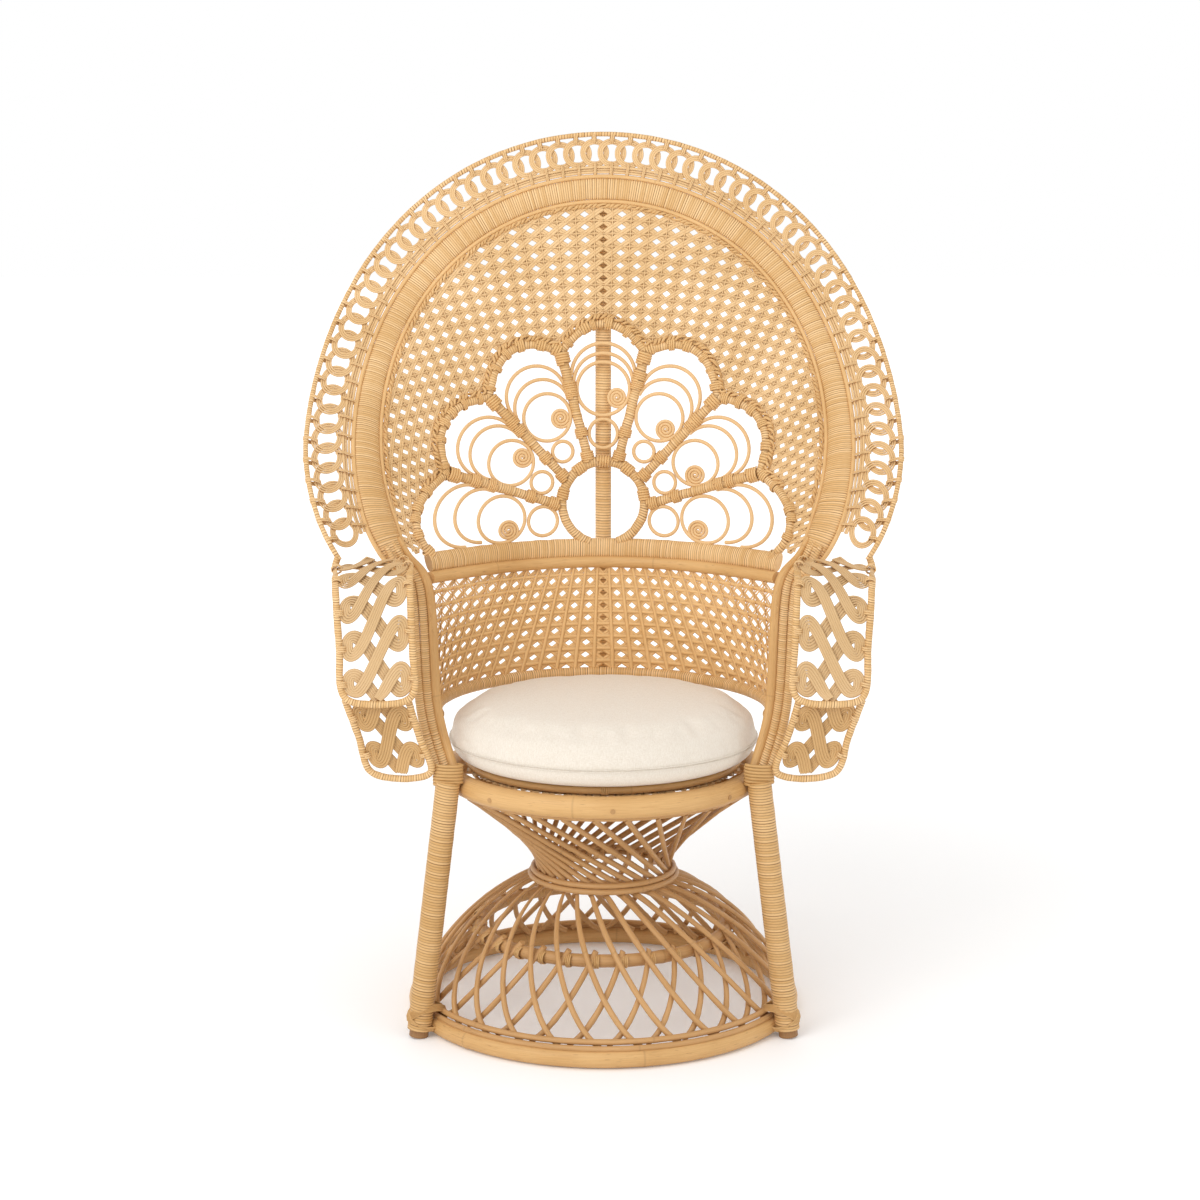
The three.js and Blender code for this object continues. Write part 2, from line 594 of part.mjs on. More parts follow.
// Horseshoe arch that stands on the base band.
const archFoot = Math.acos((flowerBandTop + BOUND_POLE * 0.7 - ARCH_Z) / ARCH_RADIUS);
place('flower_arch', pole(sampled(14, -archFoot, archFoot, (angle) => onBack(
  ARCH_RADIUS * Math.sin(angle),
  ARCH_Z + ARCH_RADIUS * Math.cos(angle),
)), BOUND_POLE, 6), HONEY);

// Ribs between the petals. Each carries the scrollwork of the petal on its left, the last one of both.
function scrollwork(petal, carrier) {
  const axis = petal * PETAL_STEP;
  const spot = (up, aside) => onBack(
    up * Math.sin(axis) + aside * Math.cos(axis),
    FOCUS_Z + up * Math.cos(axis) - aside * Math.sin(axis),
  );
  const toRib = (up, aside) => up * Math.sin(PETAL_STEP / 2) - Math.abs(aside) * Math.cos(PETAL_STEP / 2);
  const reach = ([centre, radius], margin) => {
    let sweep = 0;
    while (toRib(centre + radius * Math.cos(sweep), radius * Math.sin(sweep)) > margin && sweep < 2) {
      sweep += 0.02;
    }
    return sweep;
  };
  const pieces = CRESCENTS.map(([centre, radius]) => {
    const held = reach([centre, radius], BOUND_POLE - NAILED);
    const free = reach([centre, radius], BOUND_POLE + SCROLL_CANE + CLEAR);
    return pole(sampled(5, -free * carrier, held * carrier, (angle) => spot(
      centre + radius * Math.cos(angle),
      radius * Math.sin(angle),
    )), SCROLL_CANE, 4);
  });
  const seated = (up, radius) => {
    const gap = toRib(up, 0) / Math.cos(PETAL_STEP / 2) - radius - SCROLL_CANE - BOUND_POLE;
    return carrier * (gap + NAILED);
  };
  const round = (up, aside, radius, steps) => pole(sampled(steps - 1, 0, 2 * Math.PI * (1 - 1 / steps), (angle) => spot(
    up + radius * Math.cos(angle),
    aside + radius * Math.sin(angle),
  )), SCROLL_CANE, 4, true);
  const loopAside = seated(LOOP_PLACE, LOOP_RADIUS);
  pieces.push(round(LOOP_PLACE, loopAside, LOOP_RADIUS, 8));
  pieces.push(round(RING_PLACE, seated(RING_PLACE, RING_RADIUS), RING_RADIUS, 6));
  const curlUp = LOOP_PLACE - 6;
  const curlAside = loopAside + carrier * (LOOP_RADIUS - CURL_RADIUS - 2 * SCROLL_CANE + NAILED);
  pieces.push(pole(sampled(11, 0, 2 * Math.PI * CURL_TURNS, (turn) => {
    const radius = CURL_RADIUS * (1 - turn / (2 * Math.PI * (CURL_TURNS + 0.2)));
    return spot(curlUp + radius * Math.sin(turn), curlAside + carrier * radius * Math.cos(turn));
  }), SCROLL_CANE * 0.8, 4));
  return pieces;
}

for (let i = 0; i < PETALS - 1; i += 1) {
  const petal = i - (PETALS - 1) / 2;
  const angle = (petal + 0.5) * PETAL_STEP;
  const drop = ARCH_Z - FOCUS_Z;
  const archSide = ARCH_RADIUS + BOUND_POLE - NESTED;
  const nearSide = Math.max(0, Math.abs(drop * Math.sin(angle)) - BOUND_POLE);
  const start = drop * Math.cos(angle) + Math.sqrt(archSide ** 2 - nearSide ** 2);
  const end = petalEdge(angle) - BOUND_POLE - CLEAR;
  const rib = pole(sampled(3, start, end, (radius) => onFlower(radius, angle)), BOUND_POLE, 6);
  const scrolls = scrollwork(petal, 1);
  if (i === PETALS - 2) {
    scrolls.push(...scrollwork(petal + 1, -1));
  }
  place(`flower_rib_${i + 1}`, fuse([rib, ...scrolls]), PALE);
}

// Arms: one pole runs forward along the inner edge, down, across the lip and back up the outer edge.
const fanEnd = (radius, sweep) => {
  const end = onFan(radius, sweep);
  const along = end.clone().sub(onFan(radius, sweep - 0.02)).normalize();
  return end.addScaledVector(along, ARM_POLE + CLEAR);
};
const armDrop = ARM_TOP_Z - ARM_LIP_Z;
const armInner = [
  fanEnd(BAND_RADIUS - ARM_POLE, BAND_SWEEP),
  new THREE.Vector3(ARM_INNER_X + ARM_POLE, ARM_FRONT_Y + 0.53 * armDrop, ARM_TOP_Z),
  new THREE.Vector3(ARM_INNER_X, ARM_FRONT_Y + 0.155 * armDrop, ARM_TOP_Z - 0.077 * armDrop),
  new THREE.Vector3(ARM_INNER_X - 4, ARM_FRONT_Y, ARM_TOP_Z - 0.32 * armDrop),
  new THREE.Vector3(ARM_INNER_X - 6, ARM_FRONT_Y - 4, ARM_LIP_Z + 0.4 * armDrop),
  new THREE.Vector3(ARM_INNER_X - 8, ARM_FRONT_Y - 14, ARM_LIP_Z + 0.07 * armDrop),
];
const armOuter = armInner.map((point, i) => point.clone().setX(point.x + ARM_WIDTH - 1.5 * i));
armOuter[0] = fanEnd(RIM_RADIUS, RIM_SWEEP);
const lip = (x) => new THREE.Vector3(x, ARM_FRONT_Y - 22, ARM_LIP_Z);
const lipInner = lip(armInner[5].x + 14);
const lipOuter = lip(armOuter[5].x - 14);
const armPath = [...armInner, lipInner, lipOuter, ...armOuter.slice().reverse()];
placePair('arm_frame', pole(smooth(armPath, 24), ARM_POLE, 5), HONEY);

const innerLine = new THREE.CatmullRomCurve3(armInner, false, 'centripetal');
const outerLine = new THREE.CatmullRomCurve3(armOuter, false, 'centripetal');

function laceBetween(inner, outer, margin, from, to) {
  return (u, v, side) => {
    const share = to + (from - to) * v;
    const low = inner.getPoint(share);
    const span = outer.getPoint(share).sub(low);
    const along = inner.getTangent(share).negate();
    const out = span.clone().cross(along).normalize();
    const edge = margin / span.length();
    return low.addScaledVector(span, edge + (1 - 2 * edge) * u).addScaledVector(out, side * LACE_THICK / 2);
  };
}
placePair('arm_lace', openwork(3, 4, 0.7, 4, laceBetween(
  innerLine, outerLine, ARM_POLE + LACE_MARGIN, LACE_START, 1,
)), PALE);

// Bracket below each arm: a bent pole with its own lace, from behind the lip down to the leg.
const bracketFootX = legAt(BRACKET_FOOT_Z).x + LEG_POLE + ARM_POLE + CLEAR;
const bracketTop = lip(0).add(new THREE.Vector3(0, 2 * ARM_POLE + CLEAR, 0));
const bracketInner = [
  bracketTop.clone().setX(lipInner.x - 4),
  new THREE.Vector3(bracketFootX + 4, bracketTop.y + 14, BRACKET_FOOT_Z),
];
const bracketOuter = [
  bracketTop.clone().setX(lipInner.x + BRACKET_WIDTH),
  new THREE.Vector3(bracketFootX + BRACKET_WIDTH, bracketTop.y + 14, BRACKET_FOOT_Z),
];
const bracketMiddle = (line) => line[0].clone().lerp(line[1], 0.5);
placePair('arm_bracket', pole(smooth([
  bracketInner[0], bracketMiddle(bracketInner), bracketInner[1],
  bracketOuter[1], bracketMiddle(bracketOuter), bracketOuter[0],
], 12), ARM_POLE, 5), HONEY);
placePair('bracket_lace', openwork(2, 3, 0.66, 4, laceBetween(
  new THREE.CatmullRomCurve3(bracketInner), new THREE.CatmullRomCurve3(bracketOuter),
  ARM_POLE + CLEAR, 0, 1 - LACE_START,
)), PALE);

// The origin lies on the floor under the middle of the whole chair.
const box = new THREE.Box3().setFromObject(chair);
chair.position.y = -(box.min.y + box.max.y) / 2;

export default chair;
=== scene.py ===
# A rattan peacock chair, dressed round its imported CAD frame, in metres. The sitter faces -Y.
import collections
import math

import bmesh
import bpy
import numpy as np
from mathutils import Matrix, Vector


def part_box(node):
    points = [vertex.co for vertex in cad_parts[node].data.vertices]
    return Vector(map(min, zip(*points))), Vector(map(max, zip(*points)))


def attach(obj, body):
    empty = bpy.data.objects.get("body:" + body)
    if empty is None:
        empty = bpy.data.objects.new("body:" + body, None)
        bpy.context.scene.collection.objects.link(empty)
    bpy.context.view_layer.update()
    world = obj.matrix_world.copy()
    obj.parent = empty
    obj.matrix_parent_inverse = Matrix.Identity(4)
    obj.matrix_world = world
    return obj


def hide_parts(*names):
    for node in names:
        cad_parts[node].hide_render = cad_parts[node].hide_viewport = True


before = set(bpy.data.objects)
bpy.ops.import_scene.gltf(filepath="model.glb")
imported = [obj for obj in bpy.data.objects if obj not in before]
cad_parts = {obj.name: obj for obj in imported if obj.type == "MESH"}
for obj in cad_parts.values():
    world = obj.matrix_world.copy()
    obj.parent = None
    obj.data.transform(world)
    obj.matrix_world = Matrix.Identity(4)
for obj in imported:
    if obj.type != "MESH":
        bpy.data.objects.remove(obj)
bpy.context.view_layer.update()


# Base ring: one thick rattan pole, bent round and laid on the floor. It is bare and varnished, so the
# knuckles of the stem show as slight swellings with a dark line. Its two ends meet in a butt joint at the
# back.
BASE_RADIUS = 0.325
BASE_POLE = 0.0148
BASE_LIFT = 0.001
KNUCKLES = 0.31
base_low, base_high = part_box("base_ring")
MIDDLE_Y = (base_low.y + base_high.y) / 2


def hoop_path(radius, z, y=MIDDLE_Y, count=96):
    """A level ring from its joint at the back, and the direction that faces outwards at each point."""
    angle = math.pi + np.linspace(0, 2 * math.pi, count + 1)
    out = np.stack((np.sin(angle), -np.cos(angle), np.zeros(count + 1)), axis=1)
    return out * radius + np.array((0, y, z)), out


def feed(tree, socket, value):
    """Gives a node's input a plain value, or links it to another node's output."""
    if isinstance(value, bpy.types.NodeSocket):
        tree.links.new(value, socket)
    else:
        socket.default_value = value


def figure(tree, operation, *values):
    """A Math node on sockets and numbers."""
    node = tree.nodes.new("ShaderNodeMath")
    node.operation = operation
    for socket, value in zip(node.inputs, values):
        feed(tree, socket, value)
    return node.outputs[0]


def vector_figure(tree, operation, *values):
    """A Vector Math node on sockets, numbers and tuples."""
    node = tree.nodes.new("ShaderNodeVectorMath")
    node.operation = operation
    sockets = [node.inputs[0], node.inputs["Scale"]] if operation == "SCALE" else node.inputs
    for socket, value in zip(sockets, values):
        feed(tree, socket, value)
    return node.outputs["Value" if operation == "LENGTH" else 0]


def combined(tree, *values):
    """A vector of three sockets or numbers."""
    node = tree.nodes.new("ShaderNodeCombineXYZ")
    for socket, value in zip(node.inputs, values):
        feed(tree, socket, value)
    return node.outputs[0]


def parted(tree, vector):
    """The three parts of a vector."""
    node = tree.nodes.new("ShaderNodeSeparateXYZ")
    tree.links.new(vector, node.inputs[0])
    return node.outputs


def noise(tree, vector, scale, detail):
    node = tree.nodes.new("ShaderNodeTexNoise")
    tree.links.new(vector, node.inputs["Vector"])
    node.inputs["Scale"].default_value = scale
    node.inputs["Detail"].default_value = detail
    return node.outputs["Fac"]


def from_strip_middle(tree, turn):
    """0 in the middle of a binding strip and 1 at its edges."""
    return figure(tree, "ABSOLUTE", figure(tree, "MULTIPLY_ADD", figure(tree, "FRACT", turn), 2, -1))


def from_knuckle(tree, along, spacing):
    """The distance along a stem to its nearest knuckle."""
    cell = figure(tree, "FRACT", figure(tree, "DIVIDE", along, spacing))
    return figure(tree, "MULTIPLY", figure(tree, "ABSOLUTE", figure(tree, "SUBTRACT", cell, 0.5)), spacing)


CANE_INPUTS = (
    ("Wide", "NodeSocketFloat", 0.005),
    ("Thick", "NodeSocketFloat", 0.005),
    ("Sides", "NodeSocketInt", 10),
    ("Step", "NodeSocketFloat", 0.004),
    ("Strip", "NodeSocketFloat", 0.0045),
    ("Relief", "NodeSocketFloat", 0.0),
    ("Lean", "NodeSocketFloat", 0.0),
    ("Lump", "NodeSocketFloat", 0.0),
    ("Knuckle", "NodeSocketFloat", 0.2),
    ("Swell", "NodeSocketFloat", 0.0),
    ("Finish", "NodeSocketMaterial", None),
)


def named(tree, kind, name):
    """A stored attribute of the geometry."""
    node = tree.nodes.new("GeometryNodeInputNamedAttribute")
    node.data_type = kind
    node.inputs["Name"].default_value = name
    return node.outputs["Attribute"]


def stored(tree, geometry, kind, name, value):
    """The geometry with a value stored on its points."""
    node = tree.nodes.new("GeometryNodeStoreNamedAttribute")
    node.data_type = kind
    node.domain = "POINT"
    node.inputs["Name"].default_value = name
    tree.links.new(geometry, node.inputs["Geometry"])
    tree.links.new(value, node.inputs["Value"])
    return node.outputs[0]


def swept_along(tree, curve, thick, wide, sides, scale=None):
    """An oval section swept along a curve, thick in the direction of the curve's normal. Its points keep
    their distance along the curve and their place in the section."""
    add, link = tree.nodes.new, tree.links.new
    rail = stored(tree, curve, "FLOAT", "along", add("GeometryNodeSplineParameter").outputs["Length"])
    circle = add("GeometryNodeCurvePrimitiveCircle")
    circle.mode = "RADIUS"
    circle.inputs["Radius"].default_value = 1
    link(sides, circle.inputs["Resolution"])
    place = add("GeometryNodeInputPosition").outputs[0]
    shaped = vector_figure(tree, "MULTIPLY", place, combined(tree, thick, wide, 0))
    section = stored(tree, circle.outputs["Curve"], "FLOAT_VECTOR", "section", shaped)
    sized = add("GeometryNodeSetPosition")
    link(section, sized.inputs["Geometry"])
    link(shaped, sized.inputs["Position"])
    swept = add("GeometryNodeCurveToMesh")
    link(rail, swept.inputs["Curve"])
    link(sized.outputs[0], swept.inputs["Profile Curve"])
    swept.inputs["Fill Caps"].default_value = True
    if scale is not None:
        link(scale, swept.inputs["Scale"])
    return swept.outputs[0]


def finished_tree(tree, geometry, finish):
    """Ends a tree: real geometry in one material."""
    real = tree.nodes.new("GeometryNodeRealizeInstances")
    tree.links.new(geometry, real.inputs[0])
    coated = tree.nodes.new("GeometryNodeSetMaterial")
    tree.links.new(real.outputs[0], coated.inputs["Geometry"])
    tree.links.new(finish, coated.inputs["Material"])
    tree.links.new(coated.outputs[0], tree.nodes.new("NodeGroupOutput").inputs[0])
    return tree


def new_tree(name, source, inputs):
    """An empty node tree with its named inputs and one output."""
    tree = bpy.data.node_groups.new(name, "GeometryNodeTree")
    tree.interface.new_socket(source, in_out="INPUT", socket_type="NodeSocketGeometry")
    for label, kind, value in inputs:
        socket = tree.interface.new_socket(label, in_out="INPUT", socket_type=kind)
        if value is not None:
            socket.default_value = value
    tree.interface.new_socket("Shape", in_out="OUTPUT", socket_type="NodeSocketGeometry")
    return tree


LUMP_SCALE = 55
GROOVE_POWER = 4
KNUCKLE_REACH = 1 / 90


def make_cane_tree():
    """Sweeps a cane, pole or flat strip along paths. Strip and Relief wind a binding round it, Lump makes it
    uneven, Knuckle and Swell give a bare stem its joints."""
    tree = new_tree("cane along a path", "Path", CANE_INPUTS)
    add, link = tree.nodes.new, tree.links.new
    given = add("NodeGroupInput").outputs
    curve = add("GeometryNodeMeshToCurve")
    link(given["Path"], curve.inputs["Mesh"])
    even = add("GeometryNodeResampleCurve")
    even.mode = "LENGTH"
    link(curve.outputs[0], even.inputs["Curve"])
    link(given["Step"], even.inputs["Length"])
    turned = add("GeometryNodeSetCurveNormal")
    turned.mode = "FREE"
    link(even.outputs[0], turned.inputs["Curve"])
    link(named(tree, "FLOAT_VECTOR", "facing"), turned.inputs["Normal"])
    scale = named(tree, "FLOAT", "scale")
    swept = swept_along(tree, turned.outputs[0], given["Thick"], given["Wide"], given["Sides"], scale)

    along = named(tree, "FLOAT", "along")
    across = parted(tree, named(tree, "FLOAT_VECTOR", "section"))
    leaning = figure(tree, "MULTIPLY_ADD", given["Lean"], across[1], along)
    turn = figure(tree, "DIVIDE", leaning, given["Strip"])
    grain = combined(tree, across[0], across[1], along)
    rim = figure(tree, "DIVIDE", figure(tree, "ABSOLUTE", across[1]), given["Wide"])
    skin = stored(tree, swept, "FLOAT", "turn", turn)
    skin = stored(tree, skin, "FLOAT_VECTOR", "grain", grain)
    skin = stored(tree, skin, "FLOAT", "rim", rim)

    groove = figure(tree, "POWER", from_strip_middle(tree, turn), GROOVE_POWER)
    groove = figure(tree, "MULTIPLY", groove, given["Relief"])
    place = add("GeometryNodeInputPosition").outputs[0]
    uneven = figure(tree, "SUBTRACT", noise(tree, place, LUMP_SCALE, 1), 0.5)
    bumps = figure(tree, "MULTIPLY", uneven, given["Lump"])
    apart = from_knuckle(tree, along, given["Knuckle"])
    near = figure(tree, "MAXIMUM", figure(tree, "MULTIPLY_ADD", apart, -1 / KNUCKLE_REACH, 1), 0)
    rise = figure(tree, "MULTIPLY", figure(tree, "MULTIPLY", near, near), given["Swell"])
    height = figure(tree, "SUBTRACT", figure(tree, "ADD", bumps, rise), groove)
    outwards = add("GeometryNodeInputNormal").outputs[0]
    moved = add("GeometryNodeSetPosition")
    link(skin, moved.inputs["Geometry"])
    link(vector_figure(tree, "SCALE", outwards, height), moved.inputs["Offset"])
    return finished_tree(tree, moved.outputs[0], given["Finish"])


cane_tree = make_cane_tree()


def mesh_of(paths):
    """A mesh of bare lines, with the facing and the scale of each point. A path is points, facing and, where
    it tapers or swells, the scale of its section."""
    places, facings, scales, edges = [], [], [], []
    for points, facing, *scale in paths:
        first = len(places)
        places.extend(points)
        scales.extend(scale[0] if scale else np.ones(len(points)))
        facings.extend(np.broadcast_to(facing, np.shape(points)))
        edges.extend((i, i + 1) for i in range(first, len(places) - 1))
    mesh = bpy.data.meshes.new("path")
    mesh.from_pydata([tuple(p) for p in places], edges, [])
    layer = mesh.attributes.new("facing", "FLOAT_VECTOR", "POINT")
    layer.data.foreach_set("vector", np.asarray(facings, np.float32).ravel())
    layer = mesh.attributes.new("scale", "FLOAT", "POINT")
    layer.data.foreach_set("value", np.asarray(scales, np.float32))
    return mesh


def added(name, data):
    """A new object in the scene."""
    thing = bpy.data.objects.new(name, data)
    bpy.context.scene.collection.objects.link(thing)
    return thing


def made_by(tree, name, mesh, **sizes):
    """The plain mesh object that a node tree makes of a mesh with these sizes."""
    source = added(name + " path", mesh)
    modifier = source.modifiers.new("shape", "NODES")
    modifier.node_group = tree
    for socket in tree.interface.items_tree:
        if socket.in_out == "INPUT" and socket.name.lower() in sizes:
            modifier[socket.identifier] = sizes[socket.name.lower()]
    graph = bpy.context.evaluated_depsgraph_get()
    result = bpy.data.meshes.new_from_object(source.evaluated_get(graph), depsgraph=graph)
    bpy.data.objects.remove(source)
    result.name = name
    for spare in ("facing", "scale", "along", "section", "axis", "girth"):
        if spare in result.attributes:
            result.attributes.remove(result.attributes[spare])
    return added(name, result)


def canes(name, paths, finish, wide, thick=None, **sizes):
    """Canes along paths, as one piece. wide and thick are half of the section's sizes."""
    thick = wide if thick is None else thick
    return made_by(cane_tree, name, mesh_of(paths), finish=finish, wide=wide, thick=thick, **sizes)


def belongs(piece, slot, *nodes, body="chair"):
    """The piece moves with its body and stands for these CAD nodes, which are hidden. The slot is not used.
    """
    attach(piece, body)
    if nodes:
        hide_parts(*nodes)
    return piece


def attribute(tree, name, output):
    node = tree.nodes.new("ShaderNodeAttribute")
    node.attribute_name = name
    return node.outputs[output]


def blended(tree, share, first, second):
    """A colour mix of sockets or plain colours."""
    node = tree.nodes.new("ShaderNodeMix")
    node.data_type = "RGBA"
    sockets = {s.identifier: s for s in node.inputs}
    for key, value in (("Factor_Float", share), ("A_Color", first), ("B_Color", second)):
        feed(tree, sockets[key], (*value, 1) if isinstance(value, tuple) else value)
    return {s.identifier: s for s in node.outputs}["Result_Color"]


def ranged(tree, value, low, high, to_low=0.0, to_high=1.0, smooth=False):
    """A value from low to high, stretched to another range."""
    node = tree.nodes.new("ShaderNodeMapRange")
    node.interpolation_type = "SMOOTHSTEP" if smooth else "LINEAR"
    tree.links.new(value, node.inputs["Value"])
    for socket, number in zip(list(node.inputs)[1:5], (low, high, to_low, to_high)):
        socket.default_value = number
    return node.outputs["Result"]


def drawn(tree, number):
    """A random value for each whole number."""
    node = tree.nodes.new("ShaderNodeTexWhiteNoise")
    node.noise_dimensions = "1D"
    tree.links.new(figure(tree, "FLOOR", number), node.inputs["W"])
    return node.outputs["Value"]


def new_finish(name):
    """An empty material, its node tree and its shader."""
    material = bpy.data.materials.new(name)
    material.use_nodes = True
    return material, material.node_tree, material.node_tree.nodes["Principled BSDF"]


BUMP_DEPTH = 0.0006


def bumped(tree, shader, height, strength):
    """Gives a shader's surface the relief of a height."""
    bump = tree.nodes.new("ShaderNodeBump")
    bump.inputs["Strength"].default_value = strength
    bump.inputs["Distance"].default_value = BUMP_DEPTH
    tree.links.new(height, bump.inputs["Height"])
    tree.links.new(bump.outputs[0], shader.inputs["Normal"])


FIBRES_ROUND = (140, 140, 1500)
FIBRES_ALONG = (1500, 1500, 22)
FIBRE_BUMP = 0.35
PATCH_SCALE = 9
TONE_RANGE = (0.15, 0.85)
STRIP_TONE = 0.6
FAINT_LINE = 0.45
LINE_EDGE = (0.45, 0.9)
KNUCKLE_LINE = (0.0004, 0.0026)
KNUCKLE_TONE = 0.2
SPECKS = (700, 700, 60)
SPECK_RANGE = (0.66, 0.78)
SPECK_TONE = 0.45
CUT_EDGE_AND_GAP_SHADE = (0.4, 0.9)
GLOSS = 0.35


def rattan(name, light, dark, stain_and_shade, bound=False, knuckle=0.0, streak=0.5, rough=(0.38, 0.58), rim=0.0):
    """Rattan. A bound pole has dark lines between its binding strips, and its fibres run round it. On a bare
    stem they run along it, and its joints are a knuckle apart. rim is how dark the sides of a cane strip are
    painted: partly the darker cut edges of split cane, partly painted shade in the gaps between strands."""
    material, tree, shader = new_finish(name)
    grain = attribute(tree, "grain", "Vector")
    turn = attribute(tree, "turn", "Fac")
    stretched = vector_figure(tree, "MULTIPLY", grain, FIBRES_ROUND if bound else FIBRES_ALONG)
    fibre = noise(tree, stretched, 1.0, 3)
    patch = noise(tree, tree.nodes.new("ShaderNodeTexCoord").outputs["Object"], PATCH_SCALE, 2)
    tone = figure(tree, "MULTIPLY_ADD", figure(tree, "SUBTRACT", fibre, 0.5), streak * 2, patch)
    if bound:
        strip = figure(tree, "SUBTRACT", drawn(tree, turn), 0.5)
        tone = figure(tree, "MULTIPLY_ADD", strip, STRIP_TONE, tone)
    colour = blended(tree, ranged(tree, tone, *TONE_RANGE), dark, light)
    if bound:
        rare = figure(tree, "POWER", drawn(tree, figure(tree, "ADD", turn, 0.5)), 2)
        depth = ranged(tree, rare, 0.0, 1.0, FAINT_LINE, 1.0)
        line = ranged(tree, from_strip_middle(tree, turn), *LINE_EDGE, smooth=True)
        colour = blended(tree, figure(tree, "MULTIPLY", line, depth), colour, stain_and_shade)
    if knuckle:
        apart = from_knuckle(tree, parted(tree, grain)[2], knuckle)
        ring = ranged(tree, apart, *KNUCKLE_LINE, KNUCKLE_TONE, 0.0, smooth=True)
        colour = blended(tree, ring, colour, stain_and_shade)
        speck = noise(tree, vector_figure(tree, "MULTIPLY", grain, SPECKS), 1.0, 1)
        colour = blended(tree, ranged(tree, speck, *SPECK_RANGE, 0.0, SPECK_TONE), colour, stain_and_shade)
    # Darkens the sides of each cane strip: partly the darker cut edge of split cane, partly painted shade in
    # the gaps between neighbouring strands.
    if rim:
        edge = ranged(tree, attribute(tree, "rim", "Fac"), *CUT_EDGE_AND_GAP_SHADE, 0.0, rim)
        colour = blended(tree, edge, colour, stain_and_shade)
    tree.links.new(colour, shader.inputs["Base Color"])
    tree.links.new(ranged(tree, fibre, 0.2, 0.8, *rough), shader.inputs["Roughness"])
    shader.inputs["Specular IOR Level"].default_value = GLOSS
    bumped(tree, shader, fibre, FIBRE_BUMP)
    return material


bare_pole = rattan(
    "varnished rattan pole", (0.70, 0.43, 0.18), (0.56, 0.31, 0.11), (0.22, 0.10, 0.03),
    knuckle=KNUCKLES, streak=0.8,
)
base_ring = canes(
    "base_hoop", [hoop_path(BASE_RADIUS, BASE_POLE + BASE_LIFT)], bare_pole, BASE_POLE, sides=20, step=0.006,
    lump=0.0006, knuckle=KNUCKLES, swell=0.0009,
)
belongs(base_ring, "bound_pole", "base_ring")


# Trim canes of the base: two hoops of round rattan core, laid on the base ring. The outer canes of the bell
# are nailed to the upper one from behind.
BASE_SOLID_POLE = 0.015
BASE_SOLID_SIDE = math.radians(36)
TRIM_CANE = 0.005
TRIM_SHIFT = 0.002
UPPER_TRIM_INSET = 0.0075
CLEAR = 0.0004
NESTED = 0.0012
base_top = 2 * BASE_SOLID_POLE * math.cos(BASE_SOLID_SIDE / 2)
lower_trim_z = base_top + CLEAR + TRIM_CANE - NESTED
upper_trim_z = lower_trim_z + 2 * TRIM_CANE + CLEAR - NESTED
trim_radius = BASE_RADIUS + TRIM_SHIFT
base_cane = rattan(
    "twisted rattan core", (0.60, 0.345, 0.145), (0.47, 0.25, 0.09), (0.20, 0.09, 0.03),
    knuckle=KNUCKLES, streak=0.8, rough=(0.36, 0.52),
)
trim_hoops = [
    hoop_path(trim_radius, lower_trim_z),
    hoop_path(trim_radius - UPPER_TRIM_INSET, upper_trim_z),
]
TRIM_SIZES = dict(sides=10, step=0.006, lump=0.0004, knuckle=KNUCKLES, swell=0.0004)
base_trim = canes("base_trim_canes", trim_hoops, base_cane, TRIM_CANE, **TRIM_SIZES)
belongs(base_trim, "base_cane", "base_trim_cane")


# Hourglass: thirty round canes twist from the seat through the waist to the base. Above the waist they lie
# in straight lines, below it they swell into a bell. Thirty counter canes cross behind them, up to a tie
# ring.
CANE = 0.005
CANE_COUNT = 30
NAILED = 0.004
SEAT_Z = 0.415
SEAT_SHIFT = 0.010
SEAT_Y = MIDDLE_Y + SEAT_SHIFT
SEAT_RADIUS = 0.262
SEAT_POLE = 0.0185
WAIST_RADIUS = 0.113
WAIST_SHARE = 0.59
WAIST_DROP = 0.017
BELL_TURN = math.radians(35)
BELL_POWER = 2 / 1.42
TIE_SHARE = 0.47
TIE_POLE = 0.011
waist_z = WAIST_SHARE * SEAT_Z
seat_trim_z = SEAT_Z - SEAT_POLE - TRIM_CANE + 2 * NESTED
seat_trim_radius = SEAT_RADIUS - 2 * TRIM_CANE
cone_top = seat_trim_z - TRIM_CANE + NAILED - 2 * NESTED
cone_spread = math.sqrt(seat_trim_radius ** 2 - WAIST_RADIUS ** 2)
bell_top = waist_z - WAIST_DROP
bell_foot = base_top + CANE + CLEAR - NESTED
bell_radius = trim_radius - TRIM_CANE - CANE - CLEAR
layer_depth = 2 * CANE + CLEAR


def hourglass(share):
    """Radius, height and turn on the cone (share up to 0) or on the bell (share over 0)."""
    if share <= 0:
        spread = -share * cone_spread
        z = waist_z - share * (cone_top - waist_z)
        return math.hypot(WAIST_RADIUS, spread), z, -math.atan2(spread, WAIST_RADIUS)
    angle = share * math.pi / 2
    radius = WAIST_RADIUS + (bell_radius - WAIST_RADIUS) * math.sin(angle) ** BELL_POWER
    z = bell_foot + (bell_top - bell_foot) * max(0, math.cos(angle)) ** BELL_POWER
    return radius, z, BELL_TURN * share


def inner_layer(share, depth):
    """A spot set in from the bell by a depth, turned the other way."""
    radius, z, turn = hourglass(share)
    before, after = hourglass(share - 0.01), hourglass(min(1, share + 0.01))
    slope = np.array((after[0] - before[0], after[1] - before[1]))
    slope /= np.linalg.norm(slope)
    return radius + slope[1] * depth, z - slope[0] * depth, -turn


def round_axis(spots, start, shift):
    """The points of one cane that starts at an angle, and their outward facing. The cone leans by the
    shift."""
    radius, z, turn = np.array(spots).T
    out = np.stack((np.sin(start + turn), -np.cos(start + turn), np.zeros(len(turn))), axis=1)
    points = out * radius[:, None]
    points[:, 1] += MIDDLE_Y + shift * (z - waist_z).clip(0) / (cone_top - waist_z)
    points[:, 2] = z
    return points, out


